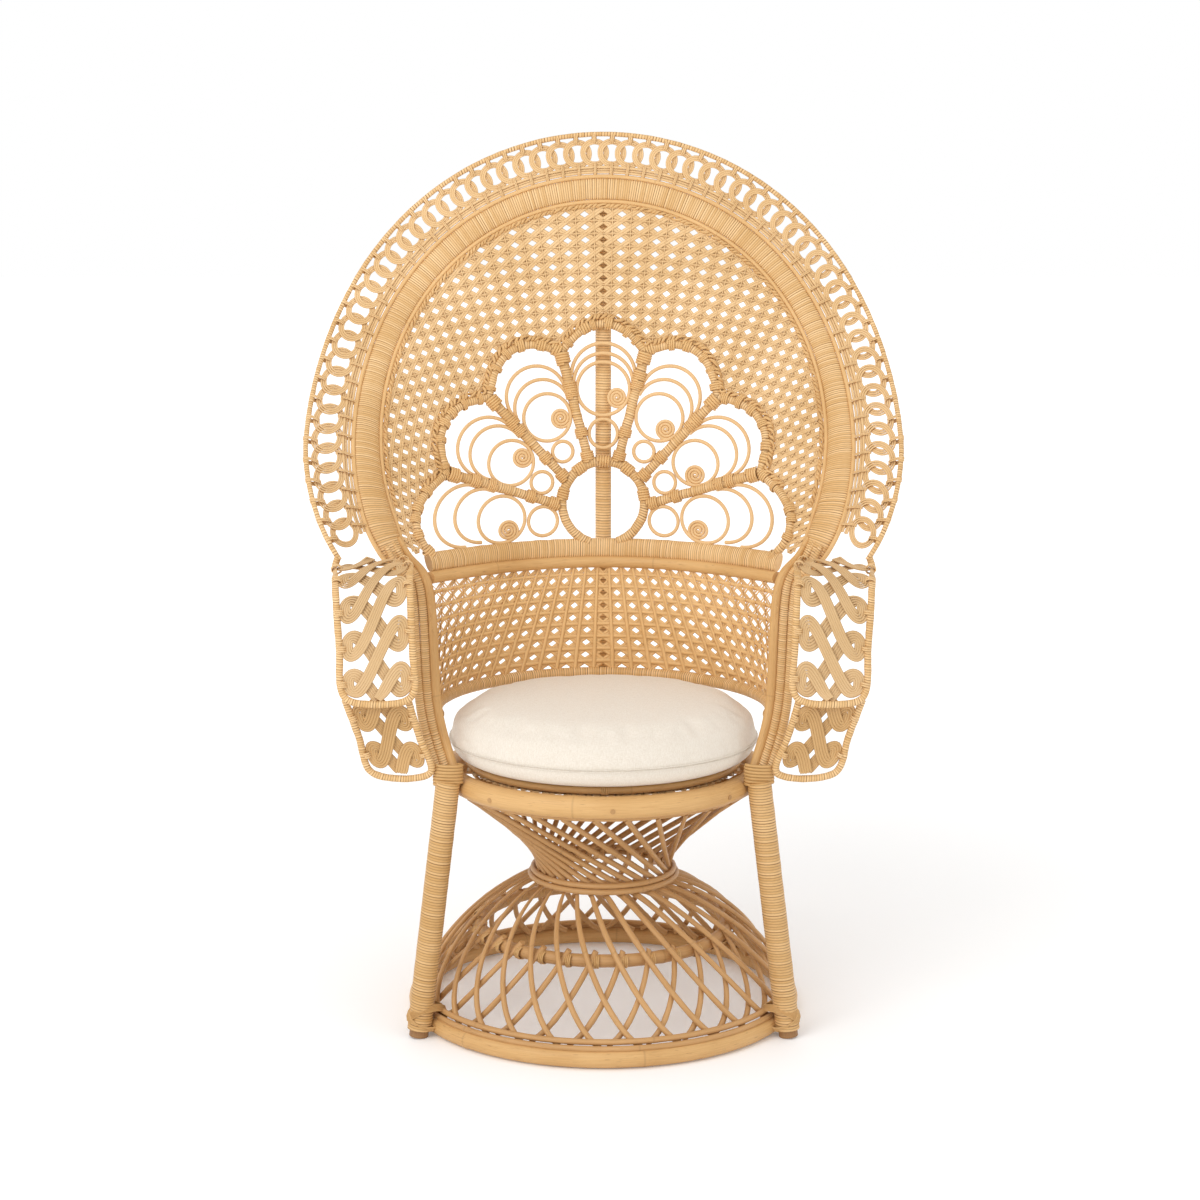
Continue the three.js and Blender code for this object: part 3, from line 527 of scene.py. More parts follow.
cone_spots = [hourglass(s) for s in np.linspace(-1.0, 0, 10)]
bell_spots = [hourglass(s) for s in (0, 0.02, 0.05, 0.1, *np.linspace(0.16, 1.0, 18))]
counter_spots = [inner_layer(s, layer_depth) for s in np.linspace(TIE_SHARE - 0.03, 1.0, 14)]
starts = np.arange(CANE_COUNT) * 2 * math.pi / CANE_COUNT
TWIST_SIZES = dict(sides=8, step=0.006, lump=0.0005, knuckle=0.27, swell=0.0005)
for side, half in (("right", starts[:CANE_COUNT // 2]), ("left", starts[CANE_COUNT // 2:])):
    for name, node, spots, shift in (
        ("cone_twist", "cone_canes", cone_spots, SEAT_SHIFT),
        ("bell_twist", "bell_canes", bell_spots, 0.0),
        ("bell_counter", "counter_canes", counter_spots, 0.0),
    ):
        lines = [round_axis(spots, start, shift) for start in half]
        layer = canes(f"{name}_{side}", lines, base_cane, CANE, **TWIST_SIZES)
        belongs(layer, "base_cane", f"{node}_{side}")


# Tie ring and waist hoops: a thick core inside the bell holds the tops of the counter canes, with a wrap of
# split cane at each one, and two thin hoops bind the waist from outside.
HOOP_SHARE = 0.08
WRAP_SHIFT = 0.003
WRAP_LENGTH = 0.010
WRAP_REACH = TIE_POLE * 1.3
WRAP_HALF = TIE_POLE * 1.02
tie_radius, tie_z, _ = inner_layer(TIE_SHARE, layer_depth + CANE + TIE_POLE - NAILED)
tie_ring = canes(
    "tie_ring", [hoop_path(tie_radius, tie_z)], base_cane, TIE_POLE, sides=14, step=0.006,
    lump=0.0008, knuckle=KNUCKLES, swell=0.0008,
)
belongs(tie_ring, "base_cane")
TIE_INPUTS = (
    ("Turns", "NodeSocketFloat", 3.2),
    ("Sides", "NodeSocketInt", 4),
    ("Steps", "NodeSocketInt", 9),
    ("Thick", "NodeSocketFloat", 0.1),
    ("Finish", "NodeSocketMaterial", None),
)
TIE_OVERLAP = 0.52
TIE_GRAIN = 0.01


def make_tie_tree():
    """Winds a short coil of split cane at every point, round its "axis". The "girth" of a point is the coil's
    reach along "facing", its reach across that and its length."""
    tree = new_tree("ties at points", "Points", TIE_INPUTS)
    add, link = tree.nodes.new, tree.links.new
    given = add("NodeGroupInput").outputs
    coil = add("GeometryNodeCurveSpiral")
    for name in ("Start Radius", "End Radius", "Height"):
        coil.inputs[name].default_value = 1
    link(given["Turns"], coil.inputs["Rotations"])
    link(given["Steps"], coil.inputs["Resolution"])
    upright = add("GeometryNodeSetCurveNormal")
    upright.mode = "Z_UP"
    link(coil.outputs[0], upright.inputs["Curve"])
    wide = figure(tree, "DIVIDE", TIE_OVERLAP, given["Turns"])
    swept = swept_along(tree, upright.outputs[0], given["Thick"], wide, given["Sides"])
    across = parted(tree, named(tree, "FLOAT_VECTOR", "section"))
    unit_grain = combined(tree, across[0], across[1], named(tree, "FLOAT", "along"))
    grain = vector_figure(tree, "SCALE", unit_grain, TIE_GRAIN)
    middle = add("GeometryNodeSetPosition")
    link(stored(tree, swept, "FLOAT_VECTOR", "grain", grain), middle.inputs["Geometry"])
    middle.inputs["Offset"].default_value = (0, 0, -0.5)
    aligned = add("FunctionNodeAxesToRotation")
    aligned.primary_axis = "Z"
    aligned.secondary_axis = "X"
    link(named(tree, "FLOAT_VECTOR", "axis"), aligned.inputs[0])
    link(named(tree, "FLOAT_VECTOR", "facing"), aligned.inputs[1])
    coils = add("GeometryNodeInstanceOnPoints")
    link(given["Points"], coils.inputs["Points"])
    link(middle.outputs[0], coils.inputs["Instance"])
    link(aligned.outputs[0], coils.inputs["Rotation"])
    link(named(tree, "FLOAT_VECTOR", "girth"), coils.inputs["Scale"])
    return finished_tree(tree, coils.outputs[0], given["Finish"])


tie_tree = make_tie_tree()


def ties(name, spots, finish, **sizes):
    """Coils at spots, as one piece. A spot is its point, its axis, its facing and its girth."""
    mesh = bpy.data.meshes.new("spots")
    mesh.from_pydata([tuple(spot[0]) for spot in spots], [], [])
    for k, label in ((1, "axis"), (2, "facing"), (3, "girth")):
        layer = mesh.attributes.new(label, "FLOAT_VECTOR", "POINT")
        layer.data.foreach_set("vector", np.asarray([spot[k] for spot in spots], np.float32).ravel())
    return made_by(tie_tree, name, mesh, finish=finish, **sizes)


def outward(angle):
    """The level direction at an angle round the chair, from its front."""
    return np.array((math.sin(angle), -math.cos(angle), 0))


wraps = []
for start in starts:
    out = outward(start + counter_spots[0][2])
    aside = np.array((-out[1], out[0], 0))
    centre = out * (tie_radius + WRAP_SHIFT) + np.array((0, MIDDLE_Y, tie_z))
    wraps.append((centre, aside, out, (WRAP_REACH, WRAP_HALF, WRAP_LENGTH)))
split_cane = rattan(
    "split cane tie", (0.70, 0.44, 0.19), (0.55, 0.31, 0.11), (0.22, 0.10, 0.03), streak=0.6,
)
belongs(ties("tie_wraps", wraps, split_cane), "base_cane")
hoop_radius, hoop_z, _ = inner_layer(HOOP_SHARE, -(CANE + TRIM_CANE + CLEAR - NESTED))
upper_hoop_radius = WAIST_RADIUS + CANE + TRIM_CANE + CLEAR - NESTED
hoop_step = math.sqrt((2 * TRIM_CANE) ** 2 - (hoop_radius - upper_hoop_radius) ** 2) + CLEAR
for name, radius, z in (("lower", hoop_radius, hoop_z), ("upper", upper_hoop_radius, hoop_z + hoop_step)):
    hoop = canes(
        f"waist_hoop_{name}", [hoop_path(radius, z, count=64)], base_cane, TRIM_CANE, sides=10, step=0.005,
        lump=0.0005, knuckle=0.24, swell=0.0004,
    )
    belongs(hoop, "base_cane", f"waist_cane_{name}")


# Seat: a thick bare pole bent to a ring, with plugged nails, a trim cane nailed under it, three cross-bars
# inside it and a woven deck on the bars. A cane lies round the deck, under the edge of the cushion, its
# joint tied.
UP = np.array((0.0, 0.0, 1.0))
PLUG = 0.0042
PLUG_COUNT = 8
PLUG_START = math.radians(3)
PLUG_DROP = 0.002
PLUG_DEPTH = 0.003
PLUG_PROUD = 0.0007
seat_ring = canes(
    "seat_hoop", [hoop_path(SEAT_RADIUS, SEAT_Z, SEAT_Y)], bare_pole, SEAT_POLE, sides=22, step=0.006,
    lump=0.0008, knuckle=KNUCKLES, swell=0.0008,
)
belongs(seat_ring, "bound_pole", "seat_ring")
seat_trim_hoop = hoop_path(seat_trim_radius, seat_trim_z, SEAT_Y)
belongs(canes("seat_trim_cane", [seat_trim_hoop], base_cane, TRIM_CANE, **TRIM_SIZES), "base_cane")
plug_reach = SEAT_RADIUS + SEAT_POLE + np.array((-PLUG_DEPTH, PLUG_PROUD))
plugs = []
for k in range(PLUG_COUNT):
    out = outward(PLUG_START + k * 2 * math.pi / PLUG_COUNT)
    plugs.append((out * plug_reach[:, None] + np.array((0, SEAT_Y, SEAT_Z - PLUG_DROP)), UP))
plug_finish = rattan(
    "plugged nail", (0.52, 0.30, 0.12), (0.38, 0.20, 0.075), (0.16, 0.07, 0.02), streak=0.8,
)
belongs(canes("seat_plugs", plugs, plug_finish, PLUG, sides=12, step=0.002), "bound_pole")
BAR_POLE = 0.009
BAR_PITCH = 0.105
for i, name in enumerate(("front", "middle", "rear")):
    y = (i - 1) * BAR_PITCH
    reach = math.sqrt((SEAT_RADIUS - SEAT_POLE) ** 2 - y * y)
    line = np.array([(x, SEAT_Y + y, SEAT_Z) for x in np.linspace(-reach, reach, 9)])
    bar = canes(
        f"cross_bar_{name}", [(line, UP)], base_cane, BAR_POLE, sides=12, step=0.006, lump=0.0006,
        knuckle=0.21, swell=0.0006,
    )
    belongs(bar, "base_cane", f"seat_bar_{name}")
DECK_SETBACK = 0.023
DECK_RADIUS = SEAT_RADIUS - DECK_SETBACK
DECK_MARGIN = 0.004
DECK_STRIP = 0.0115
DECK_PITCH = DECK_STRIP * 1.04
DECK_STRIPS = 19
DECK_WAVE = 0.0012
DECK_THICK = 0.005
WEAVE_RISE = 0.0026
deck_z = SEAT_Z + BAR_POLE + CLEAR
weave_z = deck_z + WEAVE_RISE
strips = []
for axis in (0, 1):
    for k in range(-DECK_STRIPS, DECK_STRIPS + 1):
        off = k * DECK_PITCH
        reach = math.sqrt(max(0, (DECK_RADIUS - DECK_MARGIN) ** 2 - off * off))
        t = np.linspace(-reach, reach, max(9, int(reach / 0.003)))
        points = np.empty((len(t), 3))
        points[:, axis] = t
        points[:, 1 - axis] = off
        points[:, 2] = weave_z + np.cos(math.pi * (t / DECK_PITCH + k + axis)) * DECK_WAVE
        points[:, 1] += SEAT_Y
        strips.append((points, UP))
web_cane = rattan(
    "woven cane", (0.82, 0.565, 0.30), (0.68, 0.43, 0.19), (0.30, 0.15, 0.05),
    streak=0.55, rough=(0.42, 0.6), rim=0.34,
)
deck = canes("deck_weave", strips, web_cane, DECK_STRIP / 2, 0.0009, sides=4, step=0.006)
belongs(deck, "woven_cane", "seat_deck")
DECK_CANE = 0.0065
DECK_JOINT_X = 0.002
DECK_JOINT_GIRTH = (0.0074, 0.0074, 0.013)
deck_cane_z = deck_z + DECK_THICK + CLEAR + DECK_CANE
deck_cane = canes(
    "deck_hoop", [hoop_path(DECK_RADIUS - DECK_CANE, deck_cane_z, SEAT_Y)], bare_pole, DECK_CANE, sides=12,
    step=0.005, lump=0.0006, knuckle=KNUCKLES, swell=0.0005,
)
belongs(deck_cane, "base_cane", "deck_cane")
joint = np.array((DECK_JOINT_X, SEAT_Y - DECK_RADIUS + DECK_CANE, deck_cane_z))
joint_tie = [(joint, (1, 0, 0), UP, DECK_JOINT_GIRTH)]
belongs(ties("deck_cane_joint", joint_tie, split_cane, turns=4.2, steps=16), "base_cane")


# Cushion: a loose round pad of linen over soft filling. It is flat below, drawn in at one seam round its
# side, with two rows of stitching, and crowned above. The cover is swollen by a cloth simulation.
CUSHION_RADIUS = SEAT_RADIUS
CUSHION_Y = MIDDLE_Y - 0.006
CUSHION_THICK = 0.088
CUSHION_SEAM = 0.036
CUSHION_FULL = 1.01
CUSHION_REST = 0.002
CUSHION_SHAPE = (
    (0.0, 0.0), (0.45, 0.0), (0.88, 0.0), (0.95, 0.10), (0.985, 0.26), (1.0, 0.44), (1.015, 0.60),
    (1.01, 0.76), (0.97, 0.89), (0.88, 0.98), (0.72, 1.03), (0.50, 1.05), (0.25, 1.06), (0.0, 1.06),
)
CUSHION_SPOKES = 72
cushion_z = deck_cane_z + DECK_CANE + CLEAR
shell = bmesh.new()
rows = []
for reach, rise in CUSHION_SHAPE:
    r = reach * CUSHION_RADIUS * CUSHION_FULL
    z = cushion_z + CUSHION_REST + rise * CUSHION_THICK
    angles = [2 * math.pi * k / CUSHION_SPOKES for k in range(CUSHION_SPOKES if r else 1)]
    rows.append([shell.verts.new((r * math.sin(a), CUSHION_Y - r * math.cos(a), z)) for a in angles])
for low, high in zip(rows, rows[1:]):
    for k in range(CUSHION_SPOKES):
        ring = [low[k % len(low)], low[(k + 1) % len(low)], high[(k + 1) % len(high)], high[k % len(high)]]
        shell.faces.new(list(dict.fromkeys(ring)))
bmesh.ops.recalc_face_normals(shell, faces=shell.faces)
cushion_mesh = bpy.data.meshes.new("seat_cushion")
shell.to_mesh(cushion_mesh)
shell.free()
cushion = added("seat_cushion_pad", cushion_mesh)
bpy.context.view_layer.objects.active = cushion


def applied(piece):
    """Applies and removes the piece's modifiers."""
    graph = bpy.context.evaluated_depsgraph_get()
    mesh = bpy.data.meshes.new_from_object(piece.evaluated_get(graph), depsgraph=graph)
    piece.modifiers.clear()
    piece.data = mesh


VOXEL = 0.006
SWELL_CAP = 0.010
SWELL_STEPS = 20
remesh = cushion.modifiers.new("even", "REMESH")
remesh.mode = "VOXEL"
remesh.voxel_size = VOXEL
applied(cushion)
rest = np.array([v.co for v in cushion.data.vertices])
seam = np.abs(rest[:, 2] - cushion_z - CUSHION_SEAM) < VOXEL * 0.6
rim_side = np.hypot(rest[:, 0], rest[:, 1] - CUSHION_Y) > CUSHION_RADIUS * 0.9
held = np.flatnonzero((seam & rim_side) | (rest[:, 2] < cushion_z + VOXEL))
cushion.vertex_groups.new(name="held").add(held.tolist(), 1, "REPLACE")
cloth = cushion.modifiers.new("cloth", "CLOTH")
cloth.settings.quality = 6
cloth.settings.vertex_group_mass = "held"
cloth.settings.mass = 0.3
cloth.settings.tension_stiffness = 18
cloth.settings.compression_stiffness = 12
cloth.settings.bending_stiffness = 4
cloth.settings.use_pressure = True
cloth.settings.uniform_pressure_force = 4
cloth.settings.effector_weights.gravity = 0
cloth.point_cache.frame_start = 1
cloth.point_cache.frame_end = SWELL_STEPS
for step in range(1, SWELL_STEPS + 1):
    bpy.context.scene.frame_set(step)
applied(cushion)
bpy.context.scene.frame_set(1)
move = np.array([v.co for v in cushion.data.vertices]) - rest
length = np.linalg.norm(move, axis=1, keepdims=True)
swollen = rest + move * np.minimum(1, SWELL_CAP / np.maximum(length, 1e-9))
swollen[:, 2] = np.maximum(swollen[:, 2], cushion_z + CLEAR)
cushion.data.vertices.foreach_set("co", swollen.astype(np.float32).ravel())
cushion.data.update()
smooth = cushion.modifiers.new("drawn smooth", "SMOOTH")
smooth.factor = 0.5
smooth.iterations = 6
soften = cushion.modifiers.new("soft", "SUBSURF")
soften.levels = soften.render_levels = 1
applied(cushion)
for polygon in cushion.data.polygons:
    polygon.use_smooth = True

THREAD = 0.0011
SLUB = (160, 1100, 1100)
SLUB_ACROSS = (1100, 160, 160)
SLOPE = 1.6
WEAVE_TONE = 0.14
LINEN_BUMP = 0.5
linen, tree, shader = new_finish("off-white linen")
where = tree.nodes.new("ShaderNodeTexCoord").outputs["Object"]
xyz = parted(tree, where)
warp = figure(tree, "SINE", figure(tree, "MULTIPLY", xyz[0], math.pi / THREAD))
down_side = figure(tree, "MULTIPLY_ADD", xyz[2], SLOPE, xyz[1])
weft = figure(tree, "SINE", figure(tree, "MULTIPLY", down_side, math.pi / THREAD))
weave = figure(tree, "MULTIPLY", warp, weft)
slub = noise(tree, vector_figure(tree, "MULTIPLY", where, SLUB), 1.0, 2)
slub_across = noise(tree, vector_figure(tree, "MULTIPLY", where, SLUB_ACROSS), 1.0, 2)
uneven = figure(tree, "ADD", slub, slub_across)
tone = figure(tree, "MULTIPLY_ADD", weave, WEAVE_TONE, ranged(tree, uneven, 0.7, 1.3))
colour = blended(tree, tone, (0.78, 0.69, 0.575), (0.90, 0.83, 0.73))
tree.links.new(colour, shader.inputs["Base Color"])
shader.inputs["Roughness"].default_value = 0.92
shader.inputs["Sheen Weight"].default_value = 0.25
shader.inputs["Sheen Roughness"].default_value = 0.5
bumped(tree, shader, figure(tree, "ADD", weave, uneven), LINEN_BUMP)
cushion.data.materials.clear()
cushion.data.materials.append(linen)
belongs(cushion, "linen", "seat_cushion", body="cushion")
STITCH = 0.0008
STITCH_ROWS = (-0.001, 0.003)
STITCH_REACH = 1.0075
STITCH_PROUD = 0.0003
stitch_radius = CUSHION_RADIUS * STITCH_REACH + STITCH_PROUD
stitches = [hoop_path(stitch_radius, cushion_z + CUSHION_SEAM + up, CUSHION_Y) for up in STITCH_ROWS]
belongs(canes("cushion_seam", stitches, linen, STITCH, sides=6, step=0.006), "linen", body="cushion")


# Legs: two poles outside the base ring and the seat ring, bound all the way with split cane. The bare end
# of the core shows at the floor.
FRONT = np.array((0.0, -1.0, 0.0))
SIDES = (("right", np.array((1.0, 1.0, 1.0))), ("left", np.array((-1.0, 1.0, 1.0))))
LEG_POLE = 0.0205
LEG_CORE = 0.0162
LEG_ANGLE = math.radians(30)
LEG_TOP = SEAT_Z + 0.016
LEG_BARE_END = 0.014
LEG_FLOOR = 0.0022
FACET_HALF = math.radians(9)
LEG_OFF_FACET = math.radians(3)
across = np.array((math.cos(LEG_ANGLE), -math.sin(LEG_ANGLE), 0.0))
base_side = (BASE_RADIUS + BASE_SOLID_POLE) * math.cos(FACET_HALF) / math.cos(LEG_OFF_FACET)
leg_foot = across * (base_side + LEG_POLE + CLEAR) + np.array((0, MIDDLE_Y, base_top / 2))
leg_seat = across * (SEAT_RADIUS + SEAT_POLE + LEG_POLE + CLEAR) + np.array((0, SEAT_Y, SEAT_Z))
leg_run = (leg_seat - leg_foot) / (SEAT_Z - base_top / 2)


def leg_at(z):
    """The middle of the right leg at a height."""
    return leg_foot + leg_run * (z - base_top / 2)


bound_pole = rattan(
    "pole bound in split cane", (0.85, 0.575, 0.29), (0.66, 0.395, 0.155), (0.24, 0.11, 0.035),
    bound=True, streak=0.45,
)
leg_binding = rattan(
    "leg binding", (0.75, 0.485, 0.225), (0.58, 0.335, 0.12), (0.22, 0.10, 0.03), bound=True, streak=0.45,
)
foot_end = rattan(
    "bare pole end", (0.36, 0.19, 0.075), (0.25, 0.12, 0.045), (0.12, 0.05, 0.02), streak=0.8,
)
LEG_WRAP = dict(sides=18, step=0.00115, strip=0.0046, relief=0.0007, lean=0.06, lump=0.001)
for side, mirror in SIDES:
    line = np.array([leg_at(z) for z in np.linspace(LEG_BARE_END, LEG_TOP, 12)]) * mirror
    leg = canes(f"bound_leg_{side}", [(line, FRONT)], leg_binding, LEG_POLE, **LEG_WRAP)
    belongs(leg, "bound_pole", f"leg_{side}")
    line = np.array([leg_at(z) for z in (LEG_FLOOR, 0.006, LEG_BARE_END + 0.002)]) * mirror
    end = canes(f"leg_end_{side}", [(line, FRONT)], foot_end, LEG_CORE, sides=18, step=0.003)
    belongs(end, "bound_pole")


# Surround: a low and a high rail of bent pole carry cane webbing, which goes round the sitter from arm to
# arm. The low rail is bound with split cane, the high one is bare.
LOWER_RAIL_Z = SEAT_Z + 0.115
UPPER_RAIL_Z = LOWER_RAIL_Z + 0.205
RAIL = 0.011
RAIL_SWEEP = math.radians(103)
BACK_POST = 0.015
BAND_RADIUS = 0.416
UPPER_RAIL_HALF = 0.7284 * BAND_RADIUS
BACK_Y = SEAT_Y + SEAT_RADIUS + 0.018
BACK_LEAN = 0.118
BACK_CURL = 0.853 / BAND_RADIUS
BACK_FLAT_Z = UPPER_RAIL_Z + 1.647 * BAND_RADIUS
NEARBY = 0.0005
post_setback = BACK_POST + RAIL + CLEAR - NESTED
lower_rail_rear = SEAT_Y + SEAT_RADIUS + SEAT_POLE + BACK_POST + CLEAR - post_setback
lower_rail_radius = lower_rail_rear - CUSHION_Y


def back_y(x, z):
    """The concave back: it leans back, and curls forward at its lower sides."""
    rise = np.clip((z - UPPER_RAIL_Z) / (BACK_FLAT_Z - UPPER_RAIL_Z), 0, 1)
    return BACK_Y + BACK_LEAN * (z - UPPER_RAIL_Z) - BACK_CURL * (1 - rise) ** 2 * x * x


def back_facing(x, z):
    """The direction that faces forward, square to the back."""
    slope_x = (back_y(x + NEARBY, z) - back_y(x - NEARBY, z)) / (2 * NEARBY)
    slope_z = (back_y(x, z + NEARBY) - back_y(x, z - NEARBY)) / (2 * NEARBY)
    normal = np.stack((slope_x, -np.ones_like(slope_x), slope_z), axis=-1)
    return normal / np.linalg.norm(normal, axis=-1, keepdims=True)


def on_back(x, z, forward=0.0):
    """Points on the back and their forward facing, as a path."""
    x, z = np.broadcast_arrays(np.asarray(x, float), np.asarray(z, float))
    facing = back_facing(x, z)
    points = np.stack((x, back_y(x, z), z), axis=-1) + facing * np.asarray(forward)[..., None]
    return points, facing


def lower_rail(share):
    """Points on the low rail, from its left end at -1 to its right end at 1."""
    angle = np.asarray(share) * RAIL_SWEEP
    x = lower_rail_radius * np.sin(angle)
    y = CUSHION_Y + lower_rail_radius * np.cos(angle)
    return np.stack((x, y, np.full_like(x, LOWER_RAIL_Z)), axis=-1)


def upper_rail(share):
    """Points on the high rail, from its left end at -1 to its right end at 1."""
    return on_back(np.asarray(share) * UPPER_RAIL_HALF, UPPER_RAIL_Z)[0]


shares = np.linspace(-1, 1, 65)
rail_low = canes(
    "lower_rail", [(lower_rail(shares), UP)], bound_pole, RAIL, sides=14, step=0.0013, strip=0.0045,
    relief=0.0005, lean=0.05, lump=0.0008,
)
belongs(rail_low, "bound_pole", "surround_lower_rail")
rail_high = canes(
    "upper_rail", [(upper_rail(shares), UP)], bare_pole, RAIL, sides=14, step=0.005,
    lump=0.0008, knuckle=KNUCKLES, swell=0.0008,
)
belongs(rail_high, "bound_pole", "surround_upper_rail")


def surround(share, rise, forward):
    """Points on the ruled sheet between the rails, and their facing towards the sitter."""
    share, rise = np.broadcast_arrays(np.asarray(share, float), np.asarray(rise, float))
    low = lower_rail(share)
    line = upper_rail(share) - low
    along = lower_rail(share + 0.01) - lower_rail(share - 0.01)
    facing = np.cross(line, along)
    facing /= np.linalg.norm(facing, axis=-1, keepdims=True)
    return low + line * rise[..., None] + facing * np.asarray(forward)[..., None], facing


WEB_COLUMNS = 14.5
WEB_ROWS = 9
WEB_PITCH = 0.0215
WEB_THICK = 0.0006
WEB_WAVE = 0.0004
WEB_BROAD = (0.95, 1.5)
WEB_STEP = 0.125
WEB_TUCK = 0.2
MIDDLE_SLACK = 0.01
SHORTEST_STRAND = 4
CANE_LAYERS = dict(upright=-0.0013, level=-0.0005, falling=0.0003, rising=0.0010, over=0.0017)
PAIR = 0.115
surround_cane = rattan(
    "surround cane", (0.87, 0.57, 0.27), (0.73, 0.445, 0.18), (0.26, 0.12, 0.04),
    streak=0.6, rough=(0.4, 0.58), rim=0.2,
)


def webbing(columns, rows, keep, place, pitch):
    """Six-way cane webbing on a grid of holes: flat uprights and levels between the holes, pairs of diagonals
    that cross midway between neighbours, and a thin strand over each upright and level. keep says which
    grid points are covered, place puts them on the sheet. The canes widen where holes are larger than the
    pitch."""
    paths = {"flat": [], "slant": [], "strand": []}

    def strand(kind, u, v, layer):
        inside = keep(u, v)
        edges = np.flatnonzero(np.diff(np.concatenate(([0], inside.astype(int), [0]))))
        for first, last in zip(edges[::2], edges[1::2]):
            if last - first > SHORTEST_STRAND:
                a, b = u[first:last], v[first:last]
                over = CANE_LAYERS[layer] + WEB_WAVE * np.cos(2 * math.pi * (a + b))
                broad = np.linalg.norm(place(a + 0.5, b, 0)[0] - place(a - 0.5, b, 0)[0], axis=1)
                paths[kind].append((*place(a, b, over), np.clip(broad / pitch, *WEB_BROAD)))

    v = np.arange(rows[0], rows[1] + WEB_STEP, WEB_STEP)
    for k in np.arange(math.floor(columns[0]) - 0.5, columns[1] + 1):
        strand("flat", np.full_like(v, k), v, "upright")
        strand("strand", np.full_like(v, k), v, "over")
    u = np.arange(columns[0], columns[1] + WEB_STEP, WEB_STEP)
    for k in np.arange(math.floor(rows[0]) - 0.5, rows[1] + 1):
        strand("flat", u, np.full_like(u, k), "level")
        strand("strand", u, np.full_like(u, k), "over")
    reach = rows[1] - rows[0]
    rise = v - math.floor(rows[0])
    for k in np.arange(math.floor(columns[0] - reach) - 0.5, columns[1] + reach + 1):
        for aside in (-PAIR, PAIR):
            strand("slant", k + aside + rise, v, "rising")
            strand("slant", k + aside - rise, v, "falling")
    return paths


def woven(name, side, lines, finish, **half_widths):
    """The three kinds of cane of one web, as three pieces. The first of them stands for the web's solid."""
    nodes = [f"{name}_web_{side}"]
    for kind, wide in half_widths.items():
        piece = canes(f"{name}_{kind}s_{side}", lines[kind], finish, wide, WEB_THICK, sides=6, step=0.006)
        belongs(piece, "woven_cane", *nodes)
        nodes = []


def surround_web(sign):
    """The webbing of one half of the surround."""
    def place(u, v, over):
        return surround(u / WEB_COLUMNS, (v + 0.5) / WEB_ROWS, over)

    def keep(u, v):
        own_half = (u * sign >= -MIDDLE_SLACK) & (np.abs(u) <= WEB_COLUMNS + WEB_TUCK)
        return own_half & (v > -WEB_TUCK) & (v < WEB_ROWS - 1 + WEB_TUCK)

    end = WEB_COLUMNS + 2 * WEB_STEP
    columns = (0, end) if sign > 0 else (-end, 0)
    return webbing(columns, (-0.5, WEB_ROWS - 0.5), keep, place, WEB_PITCH)


for side, sign in (("right", 1), ("left", -1)):
    woven("surround", side, surround_web(sign), surround_cane, slant=0.0023, flat=0.0028, strand=0.0008)


# Back post: a pole bound with split cane, behind the surround and the fan. It stands against the seat ring
# and carries the middle of the back up to the band.
FAN_Z = UPPER_RAIL_Z + 0.613 * BAND_RADIUS
BOUND_POLE = 0.008
POST_SKIN = 0.0002
fan_setback = BACK_POST + BOUND_POLE


def bent(points, count):
    """A centripetal curve through points, in even steps."""
    knots = np.asarray(points, float)
    ends = [2 * knots[0] - knots[1], *knots, 2 * knots[-1] - knots[-2]]
    dense = []
    for p0, p1, p2, p3 in zip(ends, ends[1:], ends[2:], ends[3:]):
        t1 = np.linalg.norm(p1 - p0) ** 0.5
        t2 = t1 + np.linalg.norm(p2 - p1) ** 0.5
        t3 = t2 + np.linalg.norm(p3 - p2) ** 0.5
        t = np.linspace(t1, t2, 40, endpoint=False)[:, None]
        a1 = (t1 - t) / t1 * p0 + t / t1 * p1
        a2 = (t2 - t) / (t2 - t1) * p1 + (t - t1) / (t2 - t1) * p2
        a3 = (t3 - t) / (t3 - t2) * p2 + (t - t2) / (t3 - t2) * p3
        b1 = (t2 - t) / t2 * a1 + t / t2 * a2
        b2 = (t3 - t) / (t3 - t1) * a2 + (t - t1) / (t3 - t1) * a3
        dense.append((t2 - t) / (t2 - t1) * b1 + (t - t1) / (t2 - t1) * b2)
    dense = np.concatenate((*dense, knots[-1:]))
    length = np.concatenate(([0], np.cumsum(np.linalg.norm(np.diff(dense, axis=0), axis=1))))
    even = np.linspace(0, length[-1], count)
    return np.stack([np.interp(even, length, dense[:, k]) for k in range(3)], axis=1)


post_line = bent([
    (0, lower_rail_rear + post_setback, SEAT_Z - SEAT_POLE),
    (0, lower_rail_rear + post_setback, LOWER_RAIL_Z),
    on_back(0.0, UPPER_RAIL_Z + RAIL, -post_setback)[0],
    on_back(0.0, FAN_Z, -fan_setback)[0],
    on_back(0.0, FAN_Z + BAND_RADIUS, -fan_setback)[0],
], 60)
back_post = canes(
    "bound_back_post", [(post_line, FRONT)], bound_pole, BACK_POST - POST_SKIN, sides=18, step=0.00115,
    strip=0.0049, relief=0.0008, lean=0.03, lump=0.0008,
)
belongs(back_post, "bound_pole", "back_post")


# Fan band: a broad flat frame bound across with fine strips, between two edge canes. It carries the whole
# fan, and narrows at its lower ends, where the front posts meet it.
BAND_WIDTH = 0.036
BAND_THICK = 0.014
BAND_PROUD = 0.0007
BAND_SWEEP = math.radians(121)
BAND_OVERRUN = 1.045
EDGE_CANE = 0.004
PINCH_START = math.radians(92)
PINCH_SPAN = math.radians(22)
PINCH = 0.33
PINCH_POWER = 1.3
TAPER_START = math.radians(112)
TAPER_SPAN = math.radians(14)
TAPER = 0.62
TAPER_POWER = 1.4
band_in = BAND_RADIUS - BAND_WIDTH / 2
band_out = BAND_RADIUS + BAND_WIDTH / 2
edge_in = band_in - CLEAR - EDGE_CANE
edge_out = band_out + CLEAR + EDGE_CANE


